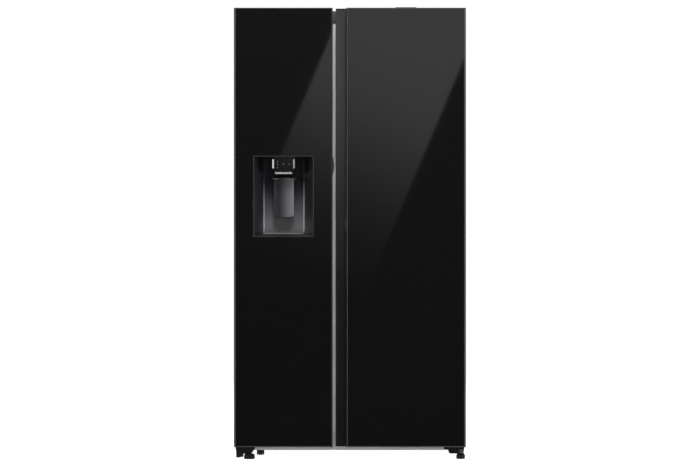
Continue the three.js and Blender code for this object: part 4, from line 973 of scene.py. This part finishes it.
def machinery():
    softened("compressor", "compressor", 0)
    coated("condenser", "coil")
    coated("evaporator", "fin")
    softened("condenser_fan", "black", 0.5)
    softened("evaporator_fan", "trim", 0.5)
    softened("machine_cover", "zinc", 0.8)
    top = corners("compressor")[1][2]
    x, y = -300, 235  # the compressor's upright axis
    discharge = [(x + 40, y + 20, top - 12), (x + 52, y + 20, top + 8), (x + 80, y + 24, top + 28)]
    discharge += [(-150, y + 30, top + 30), (-80, y + 40, top + 28)]
    discharge += [(-66, y + 30, top + 4), (-64, y + 4, top - 20)]
    tube("discharge_tube", discharge, 3.2, "copper", "cabinet")
    suction = [(x - 30, y + 30, top - 14), (x - 44, y + 34, top + 10), (x - 50, y + 50, top + 30)]
    suction += [(x - 50, y + 66, top + 44)]
    tube("suction_tube", suction, 4.2, "copper", "cabinet")
    seam_and_painted_shadow = [(60, 66), (70.6, 66), (72.6, 67), (72.6, 71), (70.6, 72), (60, 72)]
    weld = turned(bmesh.new(), [(radius, z + 53.7) for radius, z in seam_and_painted_shadow], "z", (x, y, 0), 48)
    piece("compressor_weld_seam", weld, "compressor", "cabinet")
    terminals = boxes(((x - 26, x + 26), (y - 84, y - 66), (95, 135)))
    piece("compressor_terminal_cover", terminals, "black", "cabinet", 3, 3)


def inlet(name, x, z, radius, bore, material):
    """A ribbed bush through the machine cover."""
    cover = corners("machine_cover")[1][1]
    y0, y1 = cover - 13.6, cover - 1.2
    ribs = 6
    profile = [(bore, y0), (radius, y0)]
    for i in range(ribs):
        along = y0 + 2 + i * (y1 - y0 - 3) / ribs
        profile += [(radius - 1.2, along), (radius - 0.2, along + 0.9)]
    profile += [(radius - 1.5, y1), (bore, y1), (bore, y0)]
    bush = turned(bmesh.new(), profile, "y", (x, 0, z), 32)
    piece(name, bush, material, "cabinet")


def back_details():
    low, high = corners("rear_panel")
    bead = boxes(((low[0] + 60, high[0] - 60), (high[1] - 0.4, high[1] + 1.6), (0, 9)))
    start = (0, 0, low[2] + 150)
    step = (0, 0, 190)
    row("rear_panel_beads", bead, 7, start, step, "zinc", "cabinet")
    plate = (high[1] - 0.2, high[1] + 0.5)
    label = boxes(((low[0] + 90, low[0] + 210), plate, (low[2] + 40, low[2] + 110)))
    piece("blank_rating_plate", label, "trim", "cabinet", 0.2)
    (cx0, cy0, cz0), (cx1, _, cz1) = corners("machine_cover")
    places = []
    across, up = 6, 9  # how many screws along the cover's top and up each side of the panel
    for i in range(across):
        x = cx0 + 16 + i * (cx1 - cx0 - 32) / (across - 1)
        places.append(((x, cy0 + 3.1, cz1 - 8), Y, 1.0))
    for i in range(up):
        z = low[2] + 60 + i * (high[2] - low[2] - 120) / (up - 1)
        for x in (low[0] + 10, high[0] - 10):
            places.append(((x, high[1] + 0.6, z), Y, 0.9))
    screws("back_screws", places, "cabinet")
    middle = (cz0 + 4 + cz1 - 16) / 2
    half = (cx1 - cx0) / 2 - 12
    inlet("cord_inlet_grommet", -half + 40, middle, 13.5, 5.2, "rubber")
    inlet("water_inlet_thread", half - 40, middle, 11, 4.2, "steel")


# ---------------------------------------------------------------- small fittings

def hinge_screws():
    edge, front, top = 442, -224, 1757.2  # of the upper hinges' plates
    places = []
    for side in (-1, 1):
        for dx, dy in ((12, 70), (60, 70), (12, 30), (60, 24)):
            places.append(((side * (edge - dx), front + dy, top), Z, 1.15))
    screws("upper_hinge_screws", places, "cabinet")
    bracket_face, forwards = -257.9, (0, -1, 0)
    spots = [(-440, 56), (-392, 36), (436, 40), (404, 34)]
    places = [((x, bracket_face, z), forwards, 1.1) for x, z in spots]
    screws("lower_hinge_screws", places, "cabinet")


def foot_fittings():
    (x0, y0, _), _ = corners("lower_hinge_left")
    guard = boxes(((x0 + 18, x0 + 31), (y0 + 16, y0 + 50), (9, 24)))
    piece("left_foot_guard", guard, "hinge", "cabinet", 1.5, 3)
    (x0, y0, z0), (x1, y1, z1) = corners("front_roller_left")
    sides = ((x0 - 4.6, x0 - 0.4), (x1 + 0.4, x1 + 4.6))
    cheeks = boxes(*[(x, (y0 + 4, y1 - 4), (z0 + 1, z1 + 4)) for x in sides])
    piece("front_roller_cheeks", cheeks, "hinge", "cabinet", 1.0)
    (_, y0, _), (x1, _, _) = corners("lower_hinge_right")
    bars = boxes(*[((x1 - 19, x1 - 4), (y0 + 22, y0 + 25), z) for z in ((25, 28.5), (33, 37))])
    piece("right_foot_lock_bars", bars, "dull_and_painted_shade", "cabinet", 0.8)


def lamps():
    for name, x, y, deep, room in (
        ("fridge_lamp", (110, 260), (-120, -50), 6, FRIDGE_ROOM),
        ("freezer_lamp", (-300, -190), (-232, -216), 5, FREEZER_ROOM),
    ):
        top = room[1][2] - LINER
        plate = boxes((x, y, (top - deep, top - 0.2)))
        piece(name, plate, "lamp", "cabinet", 2, 3)


# ---------------------------------------------------------------- studio, in metres

CAMERA_DISTANCE = 12.0
CAMERA_HEIGHT = 0.891
CAMERA_X = 0.0004
VIEW_WIDTH = 2.7496  # what the camera sees at its distance
SENSOR = 36.0
CARD_DISTANCE = 3.0
CARD_LEAN = math.atan(0.42)
CARD_WIDTH, CARD_BELOW, CARD_ABOVE = 0.518, 1.75, 0.5
CARD_X, CARD_Z, CARD_LIFT = 0.286, 1.78, 0.1
CARD_STRENGTH, FLOOR_STRENGTH = 0.86, 0.96
SOFT_LIGHT = 0.14  # on surfaces from all round
SEEN_WHITE = 1.05  # behind everything
ROOM_SIDES, ROOM_FRONT = 0.55, 0.012  # in reflections
FLOOR_RADIUS, FLOOR_DROP = 6.0, 0.0005
FADE = [
    (0.3, 0.0), (0.384, 0.055), (0.445, 0.11), (0.506, 0.21), (0.567, 0.375), (0.628, 0.56), (0.688, 0.76),
    (0.749, 0.9), (0.85, 1.0),
]
LIGHTS = [  # name, place, aim, width and height, power, whether reflections show it
    ("Key", (-0.06, -2.5, 4.4), (-0.06, -0.3, 1.1), (1.1, 1.3), 170, False),
    ("Right", (3.4, -2.6, 1.5), (0, -0.3, 0.9), (1.2, 2.2), 38, True),
    ("Left", (-3.4, -2.6, 1.5), (0, -0.3, 0.9), (1.2, 2.2), 26, True),
    ("Low", (-0.06, -3.2, 0.25), (-0.06, -0.3, 0.35), (1.6, 0.3), 24, False),
    ("Back", (1.2, 4.2, 2.6), (0, 0.3, 0.9), (2.6, 2.2), 110, False),
    ("Top", (0, -0.4, 3.6), (0, 0, 1.0), (2.6, 2.0), 25, True),
]


def placed_object(name, data):
    obj = bpy.data.objects.new(name, data)
    bpy.context.scene.collection.objects.link(obj)
    return obj


def light(name, place, aim, size, power, mirrored):
    data = bpy.data.lights.new(name, "AREA")
    data.shape = "RECTANGLE"
    data.size, data.size_y = size
    data.energy = power
    obj = placed_object(name, data)
    obj.location = place
    obj.rotation_euler = (Vector(aim) - Vector(place)).to_track_quat("-Z", "Y").to_euler()
    obj.visible_glossy = mirrored


def white_light(tree, strength):
    made = add(tree, "ShaderNodeBackground", None, {"Color": WHITE, "Strength": strength})
    return made.outputs[0]


def world():
    """White behind everything; soft white light on surfaces; a dark room with bright sides in
    reflections."""
    made = bpy.data.worlds.new("Studio")
    bpy.context.scene.world = made
    made.use_nodes = True
    tree = made.node_tree
    tree.nodes.clear()
    rays = add(tree, "ShaderNodeLightPath").outputs
    way = add(tree, "ShaderNodeTexCoord").outputs["Generated"]
    parts = add(tree, "ShaderNodeSeparateXYZ", None, {0: way})
    backwards = maths(tree, "MULTIPLY", parts.outputs[1], -1.0)
    room = add(
        tree, "ShaderNodeMapRange", {"interpolation_type": "SMOOTHSTEP"},
        {
            "Value": backwards, "From Min": 0.55, "From Max": 0.96,
            "To Min": ROOM_SIDES, "To Max": ROOM_FRONT,
        },
    )
    soft = white_light(tree, SOFT_LIGHT)
    mirror = white_light(tree, room.outputs[0])
    seen = white_light(tree, SEEN_WHITE)
    first = add(tree, "ShaderNodeMixShader", None, {0: rays["Is Glossy Ray"], 1: soft, 2: mirror})
    last = add(tree, "ShaderNodeMixShader", None, {0: rays["Is Camera Ray"], 1: first.outputs[0], 2: seen})
    out = add(tree, "ShaderNodeOutputWorld")
    tree.links.new(last.outputs[0], out.inputs[0])


def card_glow(length):
    """Light that fades towards the floor along a strip of a length."""
    material = bpy.data.materials.new("Reflected strip")
    material.use_nodes = True
    tree = material.node_tree
    tree.nodes.clear()
    parts = add(tree, "ShaderNodeSeparateXYZ", None, {0: object_place(tree)})
    span = {"Value": parts.outputs[2], "From Min": -length, "From Max": 0.0}
    down = add(tree, "ShaderNodeMapRange", None, span)
    fade = add(tree, "ShaderNodeValToRGB", None, {0: down.outputs[0]})
    ramp = fade.color_ramp.elements
    while len(ramp) < len(FADE):
        ramp.new(0.5)
    for element, (spot, value) in zip(ramp, FADE):
        element.position = spot
        element.color = (value, value, value, 1)
    glow = add(tree, "ShaderNodeEmission", None, {"Color": fade.outputs[0], "Strength": CARD_STRENGTH})
    out = add(tree, "ShaderNodeOutputMaterial")
    tree.links.new(glow.outputs[0], out.inputs[0])
    return material


def reflected_card():
    """A leaning soft strip in front of the doors, seen only in reflections. Its sizes are as seen on the
    doors, so that they grow with its distance."""
    away = 1 + CARD_DISTANCE / CAMERA_DISTANCE
    half = CARD_WIDTH * away / 2
    length, above = CARD_BELOW * away, CARD_ABOVE * away
    mesh = bpy.data.meshes.new("Reflected strip")
    strip = [(-half, 0, -length), (half, 0, -length), (half, 0, above), (-half, 0, above)]
    mesh.from_pydata(strip, [], [(0, 1, 2, 3)])
    mesh.materials.append(card_glow(length))
    obj = placed_object("Reflected strip", mesh)
    obj.rotation_euler = (0, CARD_LEAN, 0)
    height = CAMERA_HEIGHT + (CARD_Z - CAMERA_HEIGHT) * away + CARD_LIFT
    obj.location = (CARD_X * away, FRONT * MM - CARD_DISTANCE, height)
    obj.visible_camera = obj.visible_diffuse = obj.visible_shadow = False
    obj.visible_transmission = obj.visible_volume_scatter = False


def floor():
    bm = bmesh.new()
    bmesh.ops.create_circle(bm, cap_ends=True, segments=96, radius=FLOOR_RADIUS)
    mesh = bpy.data.meshes.new("Floor")
    bm.to_mesh(mesh)
    bm.free()
    mesh.materials.append(finish(
        "Pale floor", tint(232, 232, 232), 0.9, shade=0.01, bump=0.0,
        Emission_Color=WHITE, Emission_Strength=FLOOR_STRENGTH, Specular_IOR_Level=0.0,
    ))
    obj = placed_object("Floor", mesh)
    obj.location.z = -FLOOR_DROP
    obj.visible_glossy = obj.visible_diffuse = False


def camera():
    data = bpy.data.cameras.new("Camera")
    data.sensor_width = SENSOR
    data.lens = SENSOR * CAMERA_DISTANCE / VIEW_WIDTH
    data.clip_end = 60.0
    obj = placed_object("Camera", data)
    obj.location = (CAMERA_X, FRONT * MM - CAMERA_DISTANCE, CAMERA_HEIGHT)
    obj.rotation_euler = (math.pi / 2, 0, 0)
    bpy.context.scene.camera = obj


def studio():
    scene = bpy.context.scene
    scene.view_settings.view_transform = "Standard"
    scene.view_settings.look = "None"
    world()
    floor()
    reflected_card()
    for values in LIGHTS:
        light(*values)
    camera()


cabinet_sheets()
liners()
shelves()
drawers()
bins()
doors()
finger_marks()
dispenser()
machinery()
back_details()
hinge_screws()
foot_fittings()
lamps()
studio()

bpy.context.view_layer.update()
